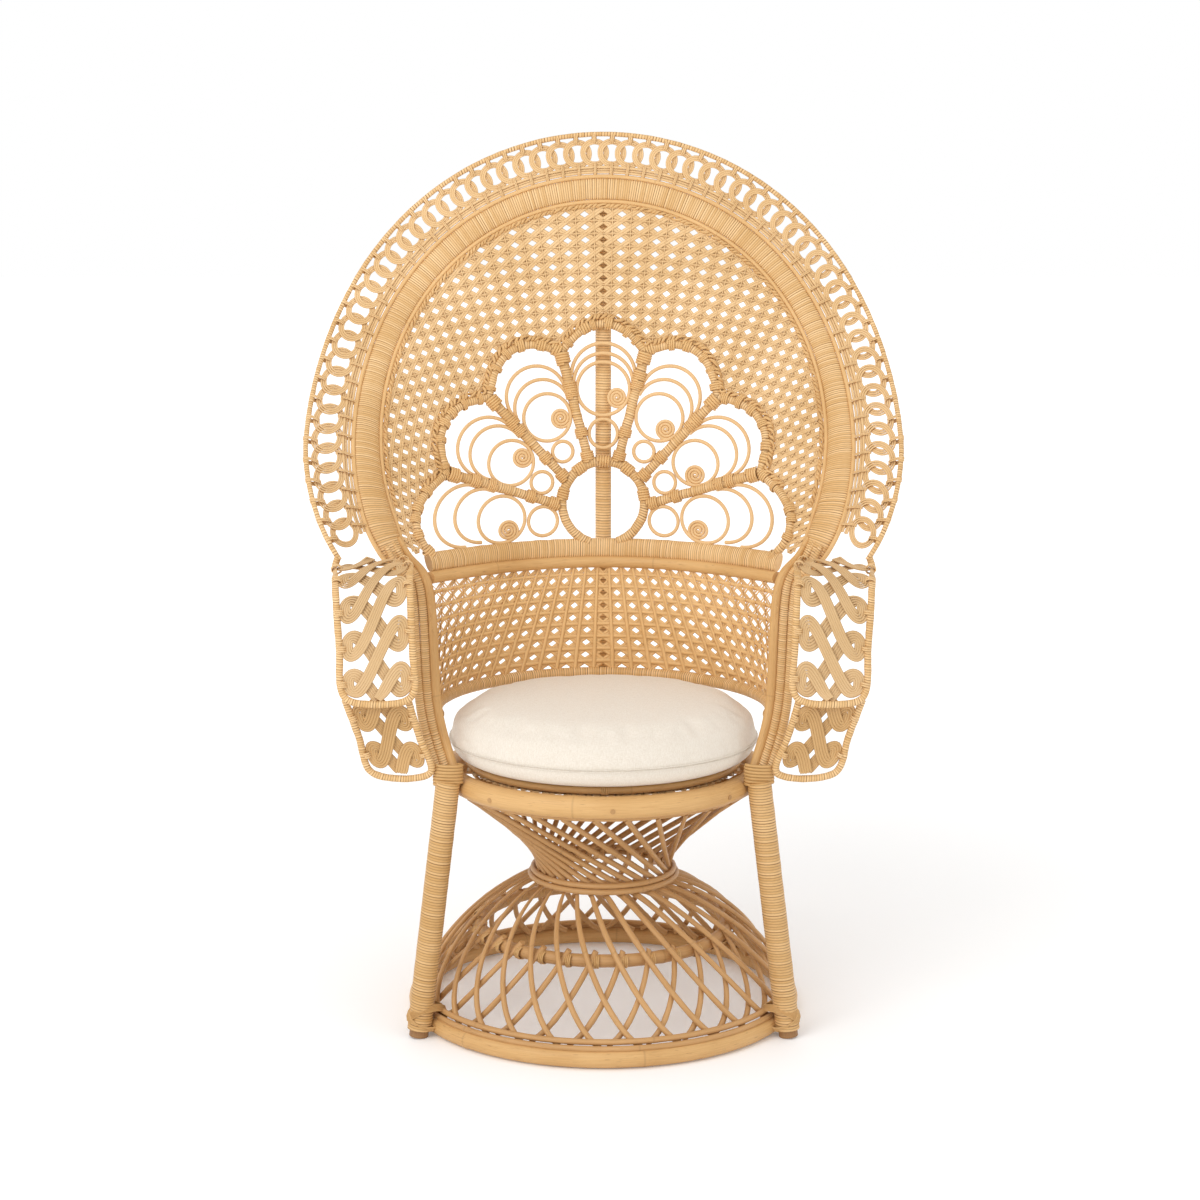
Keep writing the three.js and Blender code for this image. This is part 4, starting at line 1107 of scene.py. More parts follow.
def on_fan(radius, angle, forward=0.0):
    """Points at a radius and turn round the fan's centre. Outside the band the fan narrows at its lower
    ends."""
    radius, angle = np.broadcast_arrays(np.asarray(radius, float), np.asarray(angle, float))
    past = np.maximum(0, np.abs(angle) - PINCH_START) / PINCH_SPAN
    pinched = radius - np.maximum(0, radius - band_out) * PINCH * past ** PINCH_POWER
    return on_back(pinched * np.sin(angle), FAN_Z + pinched * np.cos(angle), forward)


def band_taper(angle):
    """The band's width against its full one: it narrows towards the posts."""
    return 1 - TAPER * np.clip((np.abs(angle) - TAPER_START) / TAPER_SPAN, 0, 1) ** TAPER_POWER


band_turn = np.linspace(-BAND_SWEEP, BAND_SWEEP, 181) * BAND_OVERRUN
spread = np.linalg.norm(on_fan(band_out, band_turn)[0] - on_fan(band_in, band_turn)[0], axis=1) / BAND_WIDTH
band_path = (*on_fan(BAND_RADIUS, band_turn), spread * band_taper(band_turn))
band = canes(
    "bound_band", [band_path], bound_pole, BAND_WIDTH / 2 + BAND_PROUD, BAND_THICK / 2, sides=22, step=0.0011,
    strip=0.0040, relief=0.0006, lean=0.03, lump=0.0008,
)
belongs(band, "bound_pole", "fan_band")
edge_finish = rattan(
    "band edge cane", (0.78, 0.50, 0.23), (0.64, 0.38, 0.15), (0.26, 0.12, 0.04), knuckle=0.33, streak=0.7,
)
for name, side in (("inner", -1), ("outer", 1)):
    radius = BAND_RADIUS + side * (edge_out - BAND_RADIUS) * band_taper(band_turn)
    edge = canes(
        f"edge_cane_{name}", [on_fan(radius, band_turn)], edge_finish, EDGE_CANE, sides=10, step=0.004,
        lump=0.0006, knuckle=0.33, swell=0.0004,
    )
    belongs(edge, "bound_pole", f"band_edge_{name}")


# Front posts: bundles of three slim poles, one bare and two bound, rise from the legs along the front edges
# of the surround and run out on the lower ends of the band. Split cane lashes them to the legs, and the
# legs to the base ring.
POST_POLE = 0.007
POST_PROUD = 0.0009
POST_STEP = 2 * POST_POLE + CLEAR
POST_SLANT = 1.35
POST_FAN_STEP = 0.011
POST_FAN_FORWARD = 0.008
POST_END = 0.55
POST_FAN_TURNS = (math.radians(122), math.radians(117))
POST_BARE = dict(sides=12, step=0.005, lump=0.0006, knuckle=KNUCKLES, swell=0.0006)
POST_WRAP = dict(sides=12, step=0.0012, strip=0.0043, relief=0.0005, lean=0.05, lump=0.0008)
post_taper = np.concatenate((np.ones(48), np.linspace(1, POST_END, 12)))


def past_rail(rail):
    """The spot beyond a rail's right end where the first pole of a post passes."""
    along = rail(1.0) - rail(0.98)
    return rail(1.0) + along / np.linalg.norm(along) * (POST_POLE * POST_SLANT + CLEAR)


post_foot = leg_at(LEG_TOP + CLEAR + POST_POLE / 2)
for side, mirror in SIDES:
    for i in range(3):
        shift = np.array((i * POST_STEP, 0, 0))
        fan_radius = BAND_RADIUS + (i - 1) * POST_FAN_STEP
        line = bent([
            post_foot + shift - np.array((POST_STEP, 0, 0)),
            past_rail(lower_rail) + shift,
            past_rail(upper_rail) + shift,
            *(on_fan(fan_radius, turn, POST_FAN_FORWARD)[0] for turn in POST_FAN_TURNS),
        ], 60) * mirror
        finish, sizes = (bare_pole, POST_BARE) if i == 0 else (bound_pole, POST_WRAP)
        path = (line, FRONT, post_taper)
        post = canes(f"front_post_{i + 1}_{side}", [path], finish, POST_POLE + POST_PROUD, **sizes)
        belongs(post, "bound_pole", f"post_pole_{i + 1}_{side}")
TOP_LASHING_RISE = 0.012
TOP_LASHING_GIRTH = (0.0140, 0.0250, 0.034)
FOOT_LASHING_Z = 0.034
FOOT_LASHING_LEAN = 0.75
foot_reach = BASE_POLE * 0.8
foot_girth = (LEG_POLE + foot_reach + 0.0015, 0.0272, 0.014)
aside = np.array((-across[1], across[0], 0))
lashings = []
for side, mirror in SIDES:
    lashings.append(((leg_at(LEG_TOP) + UP * TOP_LASHING_RISE) * mirror, UP, FRONT, TOP_LASHING_GIRTH))
    middle = leg_at(FOOT_LASHING_Z) - across * foot_reach
    for lean in (-FOOT_LASHING_LEAN, FOOT_LASHING_LEAN):
        axis = UP * math.cos(lean) + aside * math.sin(lean)
        lashings.append((middle * mirror, axis * mirror, across * mirror, foot_girth))
belongs(ties("leg_lashings", lashings, split_cane, turns=6.2, steps=18, thick=0.045), "bound_pole")


# Rim and chain: a slim bound pole outside the band, and between them sixty loops of split cane that overlap
# like links. Each loop is tied to the rim and to the band's edge cane, behind a border of three canes.
CHAIN_LOOPS = 60
CHAIN_SWEEP = math.radians(112)
CHAIN_WIDTH = 0.066
RIM_POLE = 0.0045
RIM_SWEEP = math.radians(113)
RIM_OVERRUN = 1.012
RIM_RADIUS = band_out + 2 * EDGE_CANE + CHAIN_WIDTH + RIM_POLE + 3 * CLEAR
rim_turn = np.linspace(-RIM_SWEEP, RIM_SWEEP, 181) * RIM_OVERRUN
rim = canes(
    "bound_rim", [on_fan(RIM_RADIUS, rim_turn)], bound_pole, RIM_POLE, sides=10, step=0.0014, strip=0.0052,
    relief=0.0005, lean=0.1, lump=0.0012,
)
belongs(rim, "bound_pole", "fan_rim")
chain_in = edge_out + EDGE_CANE + CLEAR
LOOP_MIDDLE = chain_in + 0.0375
LOOP_STRANDS = ((0.0245, 0.0240), (0.0212, 0.0206), (0.0179, 0.0172))
LOOP_TILT = 0.0022
CHAIN_TIES = (
    (LOOP_MIDDLE + 0.0165, RIM_RADIUS + RIM_POLE * 0.55, 0.0056, 0.008),
    (edge_out - EDGE_CANE * 0.5, LOOP_MIDDLE - 0.0160, 0.0052, 0.006),
)
RIBBON_TIE = dict(turns=2.6, thick=0.14)
loop_pitch = 2 * CHAIN_SWEEP / CHAIN_LOOPS
round_turn = np.linspace(0, 2 * math.pi, 41)
loops = []
chain_ties = []
for k in range(CHAIN_LOOPS):
    centre = -CHAIN_SWEEP + (k + 0.5) * loop_pitch
    for wide, tall in LOOP_STRANDS:
        angle = centre + wide * np.cos(round_turn) / LOOP_MIDDLE
        radius = LOOP_MIDDLE + tall * np.sin(round_turn)
        loops.append(on_fan(radius, angle, -LOOP_TILT * np.cos(round_turn)))
    for low, high, half, length in CHAIN_TIES:
        (inner, outer, beside), _ = on_fan(np.array((low, high, low)), centre + np.array((0, 0, 0.01)))
        girth = (np.linalg.norm(outer - inner) / 2, half, length)
        chain_ties.append(((inner + outer) / 2, beside - inner, outer - inner, girth))
chain = canes("chain_loops", loops, web_cane, 0.0021, 0.0011, sides=6, step=0.0045)
belongs(chain, "woven_cane", "loop_chain")
belongs(ties("chain_ties", chain_ties, web_cane, **RIBBON_TIE), "woven_cane")
BORDER_CANES = ((0.0028, 0.0008), (0.0074, -0.0006), (0.0120, 0.0012))
border_turn = np.linspace(-CHAIN_SWEEP, CHAIN_SWEEP, 161)
borders = [on_fan(chain_in + gap, border_turn, lift) for gap, lift in BORDER_CANES]
border = canes("chain_border", borders, web_cane, 0.0028, 0.0009, sides=6, step=0.006, lump=0.0014)
belongs(border, "woven_cane")


# Fan webbing: six-way cane in the field between the flower and the band, its rows sagging to the sides and
# its columns spreading upwards. Its ends are covered by twisted borders along the flower and along the
# band.
PETALS = 7
PETAL_STEP = math.radians(28.6)
PETAL_TALL = 0.07
FOCUS_Z = UPPER_RAIL_Z + 0.185 * BAND_RADIUS
PETAL_VALLEY = 0.702 * BAND_RADIUS
PETAL_BULGE = 0.13 * PETAL_VALLEY
FLOWER_BAND_HEIGHT = 0.026
FAN_COLUMNS = 27
FAN_ROWS = (-21, 12)
FAN_WEB_END = math.radians(123)
HOLE_WIDE = 0.028
HOLE_HIGH = 0.023
SAG = 0.38
SPREAD_Z = 0.46
WEB_TOP = 1.2
flower_band_low = UPPER_RAIL_Z + RAIL + CLEAR
flower_band_top = flower_band_low + FLOWER_BAND_HEIGHT


def petal_edge(angle):
    """The distance from the flower's focus to its scalloped outline."""
    bulge = np.cos(math.pi * (angle / PETAL_STEP - np.round(angle / PETAL_STEP)))
    return (PETAL_VALLEY + PETAL_BULGE * bulge) * (1 + PETAL_TALL * np.cos(angle) ** 2)


def on_fan_web(u, v, over):
    """A point of the fan's webbing at a column and row of its holes."""
    x0 = u * HOLE_WIDE
    z = WEB_TOP + v * HOLE_HIGH
    for _ in range(3):
        x = x0 * (1 + (z - WEB_TOP) / (WEB_TOP - SPREAD_Z))
        z = WEB_TOP + v * HOLE_HIGH - SAG * x * x
    return on_back(x, z, over)


def fan_web(sign):
    """The webbing of one half of the fan."""
    def keep(u, v):
        points, _ = on_fan_web(u, v, 0.0)
        x, z = points[:, 0], points[:, 2]
        angle = np.abs(np.arctan2(x, z - FAN_Z))
        edge = BAND_RADIUS - (BAND_RADIUS - edge_in) * band_taper(angle)
        in_band = (np.hypot(x, z - FAN_Z) < edge) & (angle < FAN_WEB_END)
        off_flower = np.hypot(x, z - FOCUS_Z) > petal_edge(np.arctan2(x, z - FOCUS_Z))
        own_half = (u * sign >= -MIDDLE_SLACK) & (np.abs(u) < FAN_COLUMNS)
        return own_half & in_band & off_flower & (z > flower_band_top)

    columns = (0, FAN_COLUMNS) if sign > 0 else (-FAN_COLUMNS, 0)
    return webbing(columns, FAN_ROWS, keep, on_fan_web, HOLE_WIDE)


for side, sign in (("right", 1), ("left", -1)):
    woven("fan", side, fan_web(sign), web_cane, slant=0.0027, flat=0.0036, strand=0.0010)


WAVER = ((0.9, 0.011), (0.7, 0.0043))


def twisted(path, reach, pitch, strands=2):
    """Strands that twist unevenly round a path, like a rope laid by hand."""
    points, facing = path
    along = np.gradient(points, axis=0)
    side = np.cross(along / np.linalg.norm(along, axis=1, keepdims=True), facing)
    run = np.concatenate(([0], np.cumsum(np.linalg.norm(np.diff(points, axis=0), axis=1))))[:, None]
    waver = sum(size * np.sin(run / length) for size, length in WAVER)
    for k in range(strands):
        turn = 2 * math.pi * (run / pitch + k / strands) + waver
        out = np.cos(turn) * side + np.sin(turn) * facing
        yield points + out * reach, out


ROPE_PETALS = 2.7
ROPE_GAP = 0.0125
ROPE_FORWARD = 0.003
EDGE_ROPE_GAP = 0.0075
EDGE_ROPE_SWEEP = math.radians(110)
EDGE_ROPE_FORWARD = 0.0015
rope_turn = np.linspace(-ROPE_PETALS, ROPE_PETALS, 900) * PETAL_STEP
rope_radius = petal_edge(rope_turn) + ROPE_GAP
rope_z = FOCUS_Z + rope_radius * np.cos(rope_turn)
rope_path = on_back(rope_radius * np.sin(rope_turn), rope_z, ROPE_FORWARD)
edge_turn = np.linspace(-1, 1, 900) * EDGE_ROPE_SWEEP
edge_path = on_fan(edge_in - EDGE_ROPE_GAP, edge_turn, EDGE_ROPE_FORWARD)
ropes = [*twisted(rope_path, reach=0.0038, pitch=0.020), *twisted(edge_path, reach=0.0026, pitch=0.019)]
rope_cane = rattan(
    "twisted border cane", (0.78, 0.50, 0.23), (0.56, 0.32, 0.12), (0.22, 0.10, 0.03),
    streak=0.9, rough=(0.42, 0.6),
)
belongs(canes("web_border", ropes, rope_cane, 0.0027, 0.0020, sides=6, step=0.003, lump=0.0016), "woven_cane")


# Flower: a scalloped outline of seven petals, six ribs between them, a horseshoe arch in the middle and a
# base band on the upper rail, all of pole bound with split cane. Peeled canes, bent to crescents, loops and
# curls, fill the petals, and uneven knots of split cane tie it together.
FLOWER_WRAP = dict(sides=12, step=0.0013, strip=0.0046, relief=0.0006, lean=0.12, lump=0.0036)
OUTLINE_SUNK = 0.010
ARCH_SUNK = 0.001
ARCH_PROUD = 0.0008
ARCH_RADIUS = 0.257 * PETAL_VALLEY
ARCH_Z = FOCUS_Z + 0.103 * PETAL_VALLEY
BASE_BAND_HALF = 0.0175
BASE_BAND_THICK = 0.0085
BASE_BAND_OVERRUN = 1.012
BASE_BAND_RISE = 0.001


def on_flower(radius, angle):
    """Points at a radius and angle round the flower's focus."""
    return on_back(radius * np.sin(angle), FOCUS_Z + radius * np.cos(angle))


def on_arch(angle):
    """Points of the horseshoe arch at an angle from its crown."""
    return on_back(ARCH_RADIUS * np.sin(angle), ARCH_Z + ARCH_RADIUS * np.cos(angle))


petal_end = math.acos((flower_band_top - OUTLINE_SUNK - FOCUS_Z) / PETAL_VALLEY)
outline_turn = np.linspace(-petal_end, petal_end, 400)
outline_path = on_flower(petal_edge(outline_turn), outline_turn)
outline = canes("bound_outline", [outline_path], bound_pole, BOUND_POLE, **FLOWER_WRAP)
belongs(outline, "bound_pole", "flower_outline")
arch_foot = math.acos((flower_band_top - ARCH_SUNK - ARCH_Z) / ARCH_RADIUS)
arch_path = on_arch(np.linspace(-arch_foot, arch_foot, 80))
arch = canes("bound_arch", [arch_path], bound_pole, BOUND_POLE + ARCH_PROUD, **FLOWER_WRAP)
belongs(arch, "bound_pole", "flower_arch")
base_x = np.linspace(-UPPER_RAIL_HALF, UPPER_RAIL_HALF, 121) * BASE_BAND_OVERRUN
base_z = (flower_band_low + flower_band_top) / 2 + BASE_BAND_RISE
base_band = canes(
    "bound_base_band", [on_back(base_x, base_z)], bound_pole, BASE_BAND_HALF, BASE_BAND_THICK, sides=16,
    step=0.0013, strip=0.0042, relief=0.0006, lean=0.03, lump=0.002,
)
belongs(base_band, "bound_pole", "flower_base_band")
SCROLL_CANE = 0.0034
PetalScroll = collections.namedtuple("PetalScroll", "crescents loop_up loop_aside loop ring_aside ring")
SCROLLS = (
    PetalScroll(((0.260, 0.058), (0.246, 0.054)), 0.236, 0.000, 0.0480, 0.000, 0.0260),
    PetalScroll(((0.254, 0.054), (0.231, 0.050)), 0.211, 0.001, 0.0425, 0.006, 0.0185),
    PetalScroll(((0.248, 0.053), (0.228, 0.048)), 0.197, 0.002, 0.0400, 0.003, 0.0195),
    PetalScroll(((0.246, 0.053), (0.219, 0.046)), 0.183, 0.007, 0.0410, 0.009, 0.0260),
)
CURL_RADIUS = 0.0180
CURL_TURNS = 3.3
CURL_EYE = 0.12
CURL_ANGLE = math.radians(58)
CURL_LIFT = 0.0018
CURL_SCALE = 0.86
LAST_PETAL = (PETALS - 1) / 2
scroll_cane = rattan(
    "peeled scroll cane", (0.80, 0.53, 0.265), (0.69, 0.43, 0.195), (0.4, 0.22, 0.09),
    streak=0.4, rough=(0.34, 0.46),
)


def on_petal(petal, up, aside, forward=0.0):
    """Points up a petal's middle line and aside from it."""
    axis = petal * PETAL_STEP
    x = up * np.sin(axis) + aside * np.cos(axis)
    return on_back(x, FOCUS_Z + up * np.cos(axis) - aside * np.sin(axis), forward)


def crescent_end(petal, side, centre, radius):
    """The turn at which a crescent meets the rib on one side of its petal, or the base band below the last
    petal."""
    turn = np.linspace(0, 2, 400)
    up, aside = centre + radius * np.cos(turn), side * radius * np.sin(turn)
    clear = up * math.sin(PETAL_STEP / 2) - side * aside * math.cos(PETAL_STEP / 2) - BOUND_POLE
    if side * petal == LAST_PETAL:
        clear = on_petal(petal, up, aside)[0][:, 2] - flower_band_top
    return turn[np.argmax(clear < 0) if clear.min() < 0 else np.argmin(clear)]


def scrollwork(petal):
    """The bent canes of one petal, and the lengths up its second rib at which the crescents are tucked in."""
    scroll = SCROLLS[int(abs(petal))]
    away = -1 if petal < 0 else 1
    lines, tucks = [], []
    for centre, radius in scroll.crescents:
        first, last = (crescent_end(petal, side, centre, radius) for side in (-1, 1))
        angle = np.linspace(-first, last, 48)
        lines.append(on_petal(petal, centre + radius * np.cos(angle), radius * np.sin(angle)))
        tucks.append(math.hypot(centre + radius * math.cos(last), radius * math.sin(last)))
    full = np.linspace(0, 2 * math.pi, 65)
    ring_up = scroll.loop_up - scroll.loop - scroll.ring - 2 * SCROLL_CANE + scroll.ring * np.cos(full)
    lines.append(on_petal(petal, ring_up, away * scroll.ring_aside + scroll.ring * np.sin(full)))
    hand = -1 if petal == -LAST_PETAL else 1
    out = np.array((-math.cos(CURL_ANGLE), hand * math.sin(CURL_ANGLE)))
    side = np.array((-math.sin(CURL_ANGLE), -hand * math.cos(CURL_ANGLE)))

    def turned(centre, radius, turn):
        return centre + radius * (np.cos(turn)[:, None] * out + np.sin(turn)[:, None] * side)

    middle = np.array((scroll.loop_up, away * scroll.loop_aside))
    wound = np.linspace(0, 2 * math.pi * CURL_TURNS, 160)
    shrink = CURL_RADIUS * (1 - wound / (2 * math.pi * (CURL_TURNS + CURL_EYE)))
    curl = turned(middle + out * (scroll.loop - CURL_RADIUS), shrink[:, None], wound)
    flat = np.concatenate((turned(middle, scroll.loop, full), curl))
    lift = np.concatenate((np.zeros(len(full)), CURL_LIFT * wound / wound[-1]))
    points, facing = on_petal(petal, flat[:, 0], flat[:, 1], lift)
    lines.append((points, facing, np.where(np.arange(len(points)) < len(full), 1, CURL_SCALE)))
    return lines, tucks


def knot_on(path, girth, setback=0.0):
    """A tie round a pole, at the middle of a short stretch of its path."""
    (low, high), facing = path
    return (low + high) / 2 - facing[0] * setback, high - low, facing[0], girth


RIB_TUCKED = 0.003
RIB_FOOT = 1.08
RIB_GROWTH = 0.14
RIB_HALF_STRETCH = np.array((-0.002, 0.002))
arch_rise = ARCH_Z - FOCUS_Z
knots = []
for i in range(PETALS - 1):
    petal = i - LAST_PETAL
    angle = (petal + 0.5) * PETAL_STEP
    near = max(0.0, abs(arch_rise * math.sin(angle)) - BOUND_POLE)
    first = arch_rise * math.cos(angle) + math.sqrt((ARCH_RADIUS + BOUND_POLE - NESTED) ** 2 - near ** 2)
    last = petal_edge(angle) - BOUND_POLE - CLEAR
    up_rib = np.linspace(first - RIB_TUCKED, last + RIB_TUCKED, 40)
    thicker = RIB_FOOT + RIB_GROWTH * (up_rib - first) / (last - first)
    rib_path = (*on_flower(up_rib, angle), thicker)
    rib = canes(f"bound_rib_{i + 1}", [rib_path], bound_pole, BOUND_POLE, **FLOWER_WRAP)
    belongs(rib, "bound_pole", f"flower_rib_{i + 1}")
    lines, tucks = scrollwork(petal)
    if i == PETALS - 2:
        lines += scrollwork(petal + 1)[0]
    scrolls = canes(f"scroll_canes_{i + 1}", lines, scroll_cane, SCROLL_CANE, sides=8, step=0.0025)
    belongs(scrolls, "woven_cane")
    for radius, size, length in (
        (last - 0.004, 0.0128, 0.020), (first + 0.006, 0.0116, 0.017), (first + 0.050, 0.0112, 0.016),
        (tucks[0], 0.0120, 0.017), (tucks[1], 0.0116, 0.015),
    ):
        knots.append(knot_on(on_flower(radius + RIB_HALF_STRETCH, angle), (size, size, length)))
ARCH_KNOT = 0.0105
ARCH_KNOT_LENGTH = 0.020
ARCH_HALF_STRETCH = np.array((-0.02, 0.02))
CROWN_KNOT = 0.0180
CROWN_SETBACK = 0.0045
for angle in (-0.62, 0.0, 0.62, 1.36, -1.36):
    reach, setback = (CROWN_KNOT, CROWN_SETBACK) if angle == 0 else (ARCH_KNOT, 0.0)
    girth = (reach, ARCH_KNOT, ARCH_KNOT_LENGTH)
    knots.append(knot_on(on_arch(angle + ARCH_HALF_STRETCH), girth, setback))
OUTLINE_KNOTS = 42
OUTLINE_KNOT_PROUD = 0.001
OUTLINE_KNOT_DEEPER = 0.0014
OUTLINE_HALF_STRETCH = np.array((-0.004, 0.004))
random = np.random.default_rng(7)
even_turn = np.linspace(-0.97, 0.97, OUTLINE_KNOTS) * petal_end
tucked = []
for angle in even_turn + random.uniform(-0.025, 0.025, OUTLINE_KNOTS):
    stretch = angle + OUTLINE_HALF_STRETCH
    size = random.uniform(0.0090, 0.0106)
    girth = (size, size + OUTLINE_KNOT_DEEPER, random.uniform(0.006, 0.017))
    tucked.append(knot_on(on_flower(petal_edge(stretch) + OUTLINE_KNOT_PROUD, stretch), girth))
bound_tie = rattan(
    "binding of split cane", (0.80, 0.515, 0.24), (0.66, 0.39, 0.15), (0.26, 0.12, 0.04), streak=0.5,
)
belongs(ties("rib_knots", knots, bound_tie, turns=4.2, steps=14, thick=0.12), "bound_pole")
belongs(ties("outline_knots", tucked, bound_tie, turns=3.2, steps=12, thick=0.08), "bound_pole")


# Arms: ribbons of split cane, looped and crossed between the two sides of a bound pole that runs forward
# from the fan, bends down and returns. The loops are tied to the pole. A smaller bracket of the same work
# hangs below.
ARM_POLE = 0.006
ARM_TOP_Z = UPPER_RAIL_Z + 0.047
ARM_LIP_Z = SEAT_Z + 0.160
ARM_FRONT_Y = SEAT_Y - 0.63 * SEAT_RADIUS
ARM_INNER_X = UPPER_RAIL_HALF + 0.017
ARM_WIDTH = 0.126
ARM_NARROWING = 0.0015
LIP_FORWARD = 0.022
LIP_INSET = 0.014
arm_drop = ARM_TOP_Z - ARM_LIP_Z


def fan_end(radius, sweep):
    """The spot just beyond a lower end of the fan, where an arm pole starts."""
    (before, end), _ = on_fan(radius, np.array((sweep - 0.02, sweep)))
    return end + (end - before) / np.linalg.norm(end - before) * (ARM_POLE + CLEAR)


arm_inner = np.array([
    fan_end(BAND_RADIUS - ARM_POLE, BAND_SWEEP),
    (ARM_INNER_X + ARM_POLE, ARM_FRONT_Y + 0.53 * arm_drop, ARM_TOP_Z),
    (ARM_INNER_X, ARM_FRONT_Y + 0.155 * arm_drop, ARM_TOP_Z - 0.077 * arm_drop),
    (ARM_INNER_X - 0.004, ARM_FRONT_Y, ARM_TOP_Z - 0.32 * arm_drop),
    (ARM_INNER_X - 0.006, ARM_FRONT_Y - 0.004, ARM_LIP_Z + 0.4 * arm_drop),
    (ARM_INNER_X - 0.008, ARM_FRONT_Y - 0.014, ARM_LIP_Z + 0.07 * arm_drop),
])
arm_outer = arm_inner + np.stack([(ARM_WIDTH - ARM_NARROWING * i, 0, 0) for i in range(len(arm_inner))])
arm_outer[0] = fan_end(RIM_RADIUS, RIM_SWEEP)
lip_inner = np.array((arm_inner[-1][0] + LIP_INSET, ARM_FRONT_Y - LIP_FORWARD, ARM_LIP_Z))
lip_outer = np.array((arm_outer[-1][0] - LIP_INSET, ARM_FRONT_Y - LIP_FORWARD, ARM_LIP_Z))
arm_line = bent([*arm_inner, lip_inner, lip_outer, *arm_outer[::-1]], 200)
BRACKET_FOOT_Z = SEAT_Z + 0.033
BRACKET_WIDTH = 0.100
BRACKET_INSET = 0.004
BRACKET_SLANT = 0.014
bracket_foot_x = leg_at(BRACKET_FOOT_Z)[0] + LEG_POLE + ARM_POLE + CLEAR
bracket_y = ARM_FRONT_Y - LIP_FORWARD + 2 * ARM_POLE + CLEAR
bracket_inner = np.array([
    (lip_inner[0] - BRACKET_INSET, bracket_y, ARM_LIP_Z),
    (bracket_foot_x + BRACKET_INSET, bracket_y + BRACKET_SLANT, BRACKET_FOOT_Z),
])
bracket_outer = np.array([
    (lip_inner[0] + BRACKET_WIDTH, bracket_y, ARM_LIP_Z),
    (bracket_foot_x + BRACKET_WIDTH, bracket_y + BRACKET_SLANT, BRACKET_FOOT_Z),
])
bracket_line = bent([
    bracket_inner[0], bracket_inner.mean(axis=0), bracket_inner[1],
    bracket_outer[1], bracket_outer.mean(axis=0), bracket_outer[0],
], 120)


def sheet_between(inner, outer):
    """Places points on the sheet between two edge lines: across it from -1 to 1, down it from 0 to 1, and
    forward."""
    count = np.arange(len(inner))
    facing = np.cross(np.gradient(inner, axis=0), outer - inner)
    facing /= np.linalg.norm(facing, axis=1, keepdims=True)

    def place(across, down, forward):
        def pick(line):
            return np.stack([np.interp(down * count[-1], count, line[:, k]) for k in range(3)], axis=1)

        out = pick(facing)
        flat = pick((inner + outer) / 2) + pick((outer - inner) / 2) * across[:, None]
        return flat + out * forward[:, None], out

    return place


LACE_STRANDS = 5
LACE_OVER = 0.0026
LACE_LIMIT = 0.93
TIE_OUT = 1.07
TIE_IN = 0.83
LACE_TIE_HALF = 0.0078
LACE_TIE_LENGTH = 0.009


def ribbons(reach, waves, wave, loop, gap):
    """The strands of two mirrored ribbons in flat coordinates: across, down and forward. They cross in the
    middle and loop back at the sides."""
    turn = np.linspace(0, waves * math.pi, waves * 36 + 1)
    for sign in (1, -1):
        across = sign * reach * np.sin(turn)
        down = wave / math.pi * turn + loop * np.sin(2 * turn)
        run_across, run_down = np.gradient(across), np.gradient(down)
        run = np.hypot(run_across, run_down)
        over = sign * LACE_OVER * np.cos(turn)
        for k in range(LACE_STRANDS):
            aside = (k - (LACE_STRANDS - 1) / 2) * gap
            yield across - run_down / run * aside, down + run_across / run * aside, over


def lace(inner, outer, start, end, reach, waves, loop, gap):
    """Ribbon paths on the sheet between two edge lines, and the spots where their loops are tied to the
    edges."""
    place = sheet_between(inner, outer)
    half = np.linalg.norm(outer - inner, axis=1).mean() / 2
    length = np.linalg.norm(np.diff((inner + outer) / 2, axis=0), axis=1).sum()
    wave = length * (end - start) / waves
    paths = [
        place(np.clip(across / half, -LACE_LIMIT, LACE_LIMIT), np.clip(start + down / length, 0, 1), forward)
        for across, down, forward in ribbons(reach * half, waves, wave, loop, gap)
    ]
    spots = []
    for k in range(waves):
        down = np.full(3, start + (k + 0.5) * (end - start) / waves) + np.array((0, 0, 0.01))
        for side in (-1, 1):
            (edge, inward, below), _ = place(side * np.array((TIE_OUT, TIE_IN, TIE_OUT)), down, np.zeros(3))
            girth = (np.linalg.norm(edge - inward) / 2, LACE_TIE_HALF, LACE_TIE_LENGTH)
            spots.append(((edge + inward) / 2, below - edge, edge - inward, girth))
    return paths, spots


# The arm cane is the woven cane made darker: painted shade of the gaps between the ribbons and of the arm's
# shaded back layer.
shaded_arm_cane = rattan(
    "arm cane with painted shade", (0.71, 0.485, 0.26), (0.57, 0.365, 0.165), (0.26, 0.13, 0.045),
    streak=0.6, rough=(0.42, 0.6), rim=0.36,
)
# The bracket's cane is a darker copy of the arm cane: painted shade for the bracket, which hangs in shadow
# under the arm's lip.
shaded_bracket_cane = rattan(
    "bracket cane with painted shade", (0.66, 0.41, 0.18), (0.48, 0.28, 0.105), (0.22, 0.10, 0.03),
    streak=0.6, rough=(0.42, 0.6), rim=0.3,
)
ARM_WRAP = dict(sides=12, step=0.0013, strip=0.0043, relief=0.0005, lean=0.1, lump=0.0018)
RIBBON_SIZES = dict(wide=0.0028, thick=0.0015, sides=6, step=0.0045)
arm_lace = lace(
    bent([*arm_inner, lip_inner], 120), bent([*arm_outer, lip_outer], 120),
    start=0.02, end=0.99, reach=0.79, waves=5, loop=0.031, gap=0.0041,
)
bracket_lace = lace(
    bent(bracket_inner, 40), bent(bracket_outer, 40),
    start=0.0, end=1.0, reach=0.76, waves=2, loop=0.029, gap=0.0040,
)
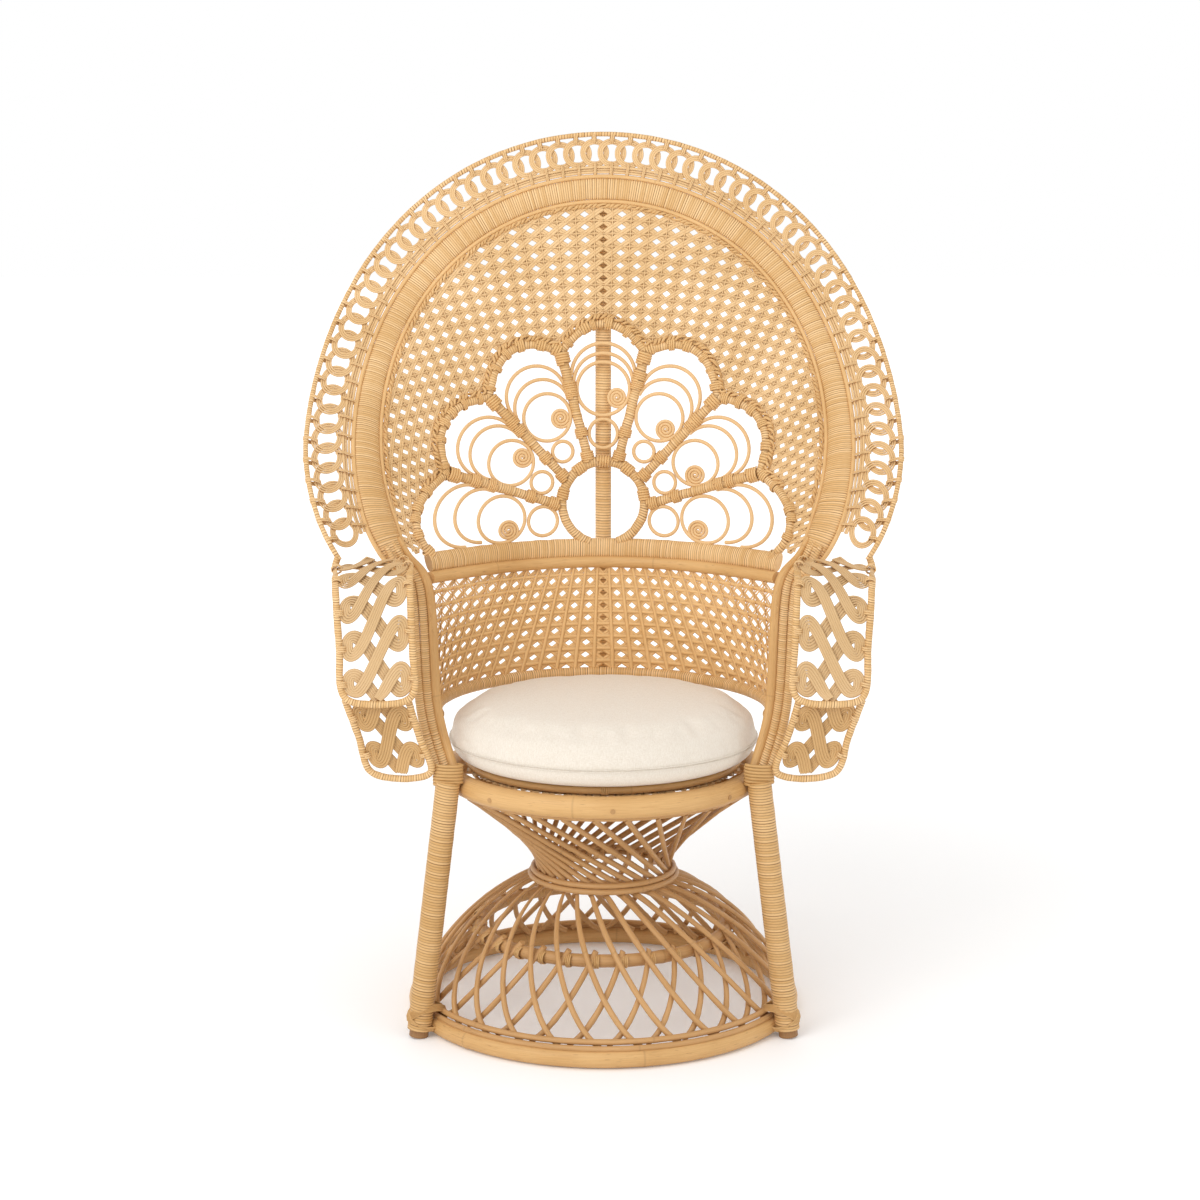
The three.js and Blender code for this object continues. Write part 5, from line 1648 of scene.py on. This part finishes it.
for side, mirror in SIDES:
    for name, line, (paths, spots), finish, pole_node, lace_node in (
        ("arm", arm_line, arm_lace, shaded_arm_cane, "arm_frame", "arm_lace"),
        ("bracket", bracket_line, bracket_lace, shaded_bracket_cane, "arm_bracket", "bracket_lace"),
    ):
        pole = canes(f"{name}_pole_{side}", [(line * mirror, FRONT)], bound_pole, ARM_POLE, **ARM_WRAP)
        belongs(pole, "bound_pole", f"{pole_node}_{side}")
        lines = [(points * mirror, facing * mirror) for points, facing in paths]
        ribbon = canes(f"{name}_ribbons_{side}", lines, finish, **RIBBON_SIZES)
        belongs(ribbon, "woven_cane", f"{lace_node}_{side}")
        spots = [(*(part * mirror for part in spot[:3]), spot[3]) for spot in spots]
        belongs(ties(f"{name}_ties_{side}", spots, web_cane, **RIBBON_TIE), "woven_cane")


# Floor, light and camera: a pale floor that runs out to white, one broad soft lamp at the upper left and a
# camera at the eye height of the photograph.
FLOOR_HALF = 40
FLOOR_GREY = 0.93
FLOOR_FADE = (0.9, 3.2)
FLOOR_GLOW = (0.09, 0.35)
ROOM_LIGHT = 0.95
WHITE = (1, 1, 1, 1)
floor_corners = [(x * FLOOR_HALF, y * FLOOR_HALF, 0) for x, y in ((-1, -1), (1, -1), (1, 1), (-1, 1))]
floor_mesh = bpy.data.meshes.new("floor")
floor_mesh.from_pydata(floor_corners, [], [(0, 1, 2, 3)])
floor = added("floor", floor_mesh)
paper, tree, sheet = new_finish("white paper floor")
sheet.inputs["Base Color"].default_value = (FLOOR_GREY, FLOOR_GREY, FLOOR_GREY, 1)
sheet.inputs["Roughness"].default_value = 0.9
sheet.inputs["Emission Color"].default_value = WHITE
away = vector_figure(tree, "LENGTH", tree.nodes.new("ShaderNodeTexCoord").outputs["Object"])
tree.links.new(ranged(tree, away, *FLOOR_FADE, *FLOOR_GLOW, smooth=True), sheet.inputs["Emission Strength"])
floor_mesh.materials.append(paper)
world = bpy.data.worlds.new("white room")
world.use_nodes = True
bpy.context.scene.world = world
tree = world.node_tree
room = tree.nodes["Background"]
room.inputs["Strength"].default_value = ROOM_LIGHT
room.inputs["Color"].default_value = WHITE
seen = tree.nodes.new("ShaderNodeBackground")
seen.inputs["Color"].default_value = WHITE
seen.inputs["Strength"].default_value = 1
ray = tree.nodes.new("ShaderNodeLightPath")
direct = figure(tree, "MAXIMUM", ray.outputs["Is Camera Ray"], ray.outputs["Is Glossy Ray"])
direct = figure(tree, "MAXIMUM", direct, ray.outputs["Is Transmission Ray"])
both = tree.nodes.new("ShaderNodeMixShader")
tree.links.new(direct, both.inputs[0])
tree.links.new(room.outputs[0], both.inputs[1])
tree.links.new(seen.outputs[0], both.inputs[2])
tree.links.new(both.outputs[0], tree.nodes["World Output"].inputs["Surface"])
LAMP_AIM = Vector((0, 0, 0.8))
lamp = bpy.data.lights.new("soft key", "AREA")
lamp.shape = "DISK"
lamp.size = 3.0
lamp.energy = 75
key = added("soft key", lamp)
key.location = (-2.2, -3.2, 3.6)
key.rotation_mode = "QUATERNION"
key.rotation_quaternion = (LAMP_AIM - key.location).to_track_quat("-Z", "Y")
CAMERA_TILT = math.radians(9.70)
lens = bpy.data.cameras.new("camera")
lens.sensor_width = 36
lens.lens = 69.6
lens.clip_end = 200
camera = added("camera", lens)
camera.location = (-0.006, -3.9334, 1.38)
camera.rotation_euler = (math.pi / 2 - CAMERA_TILT, 0, 0)
bpy.context.scene.camera = camera
bpy.context.scene.view_settings.view_transform = "Standard"
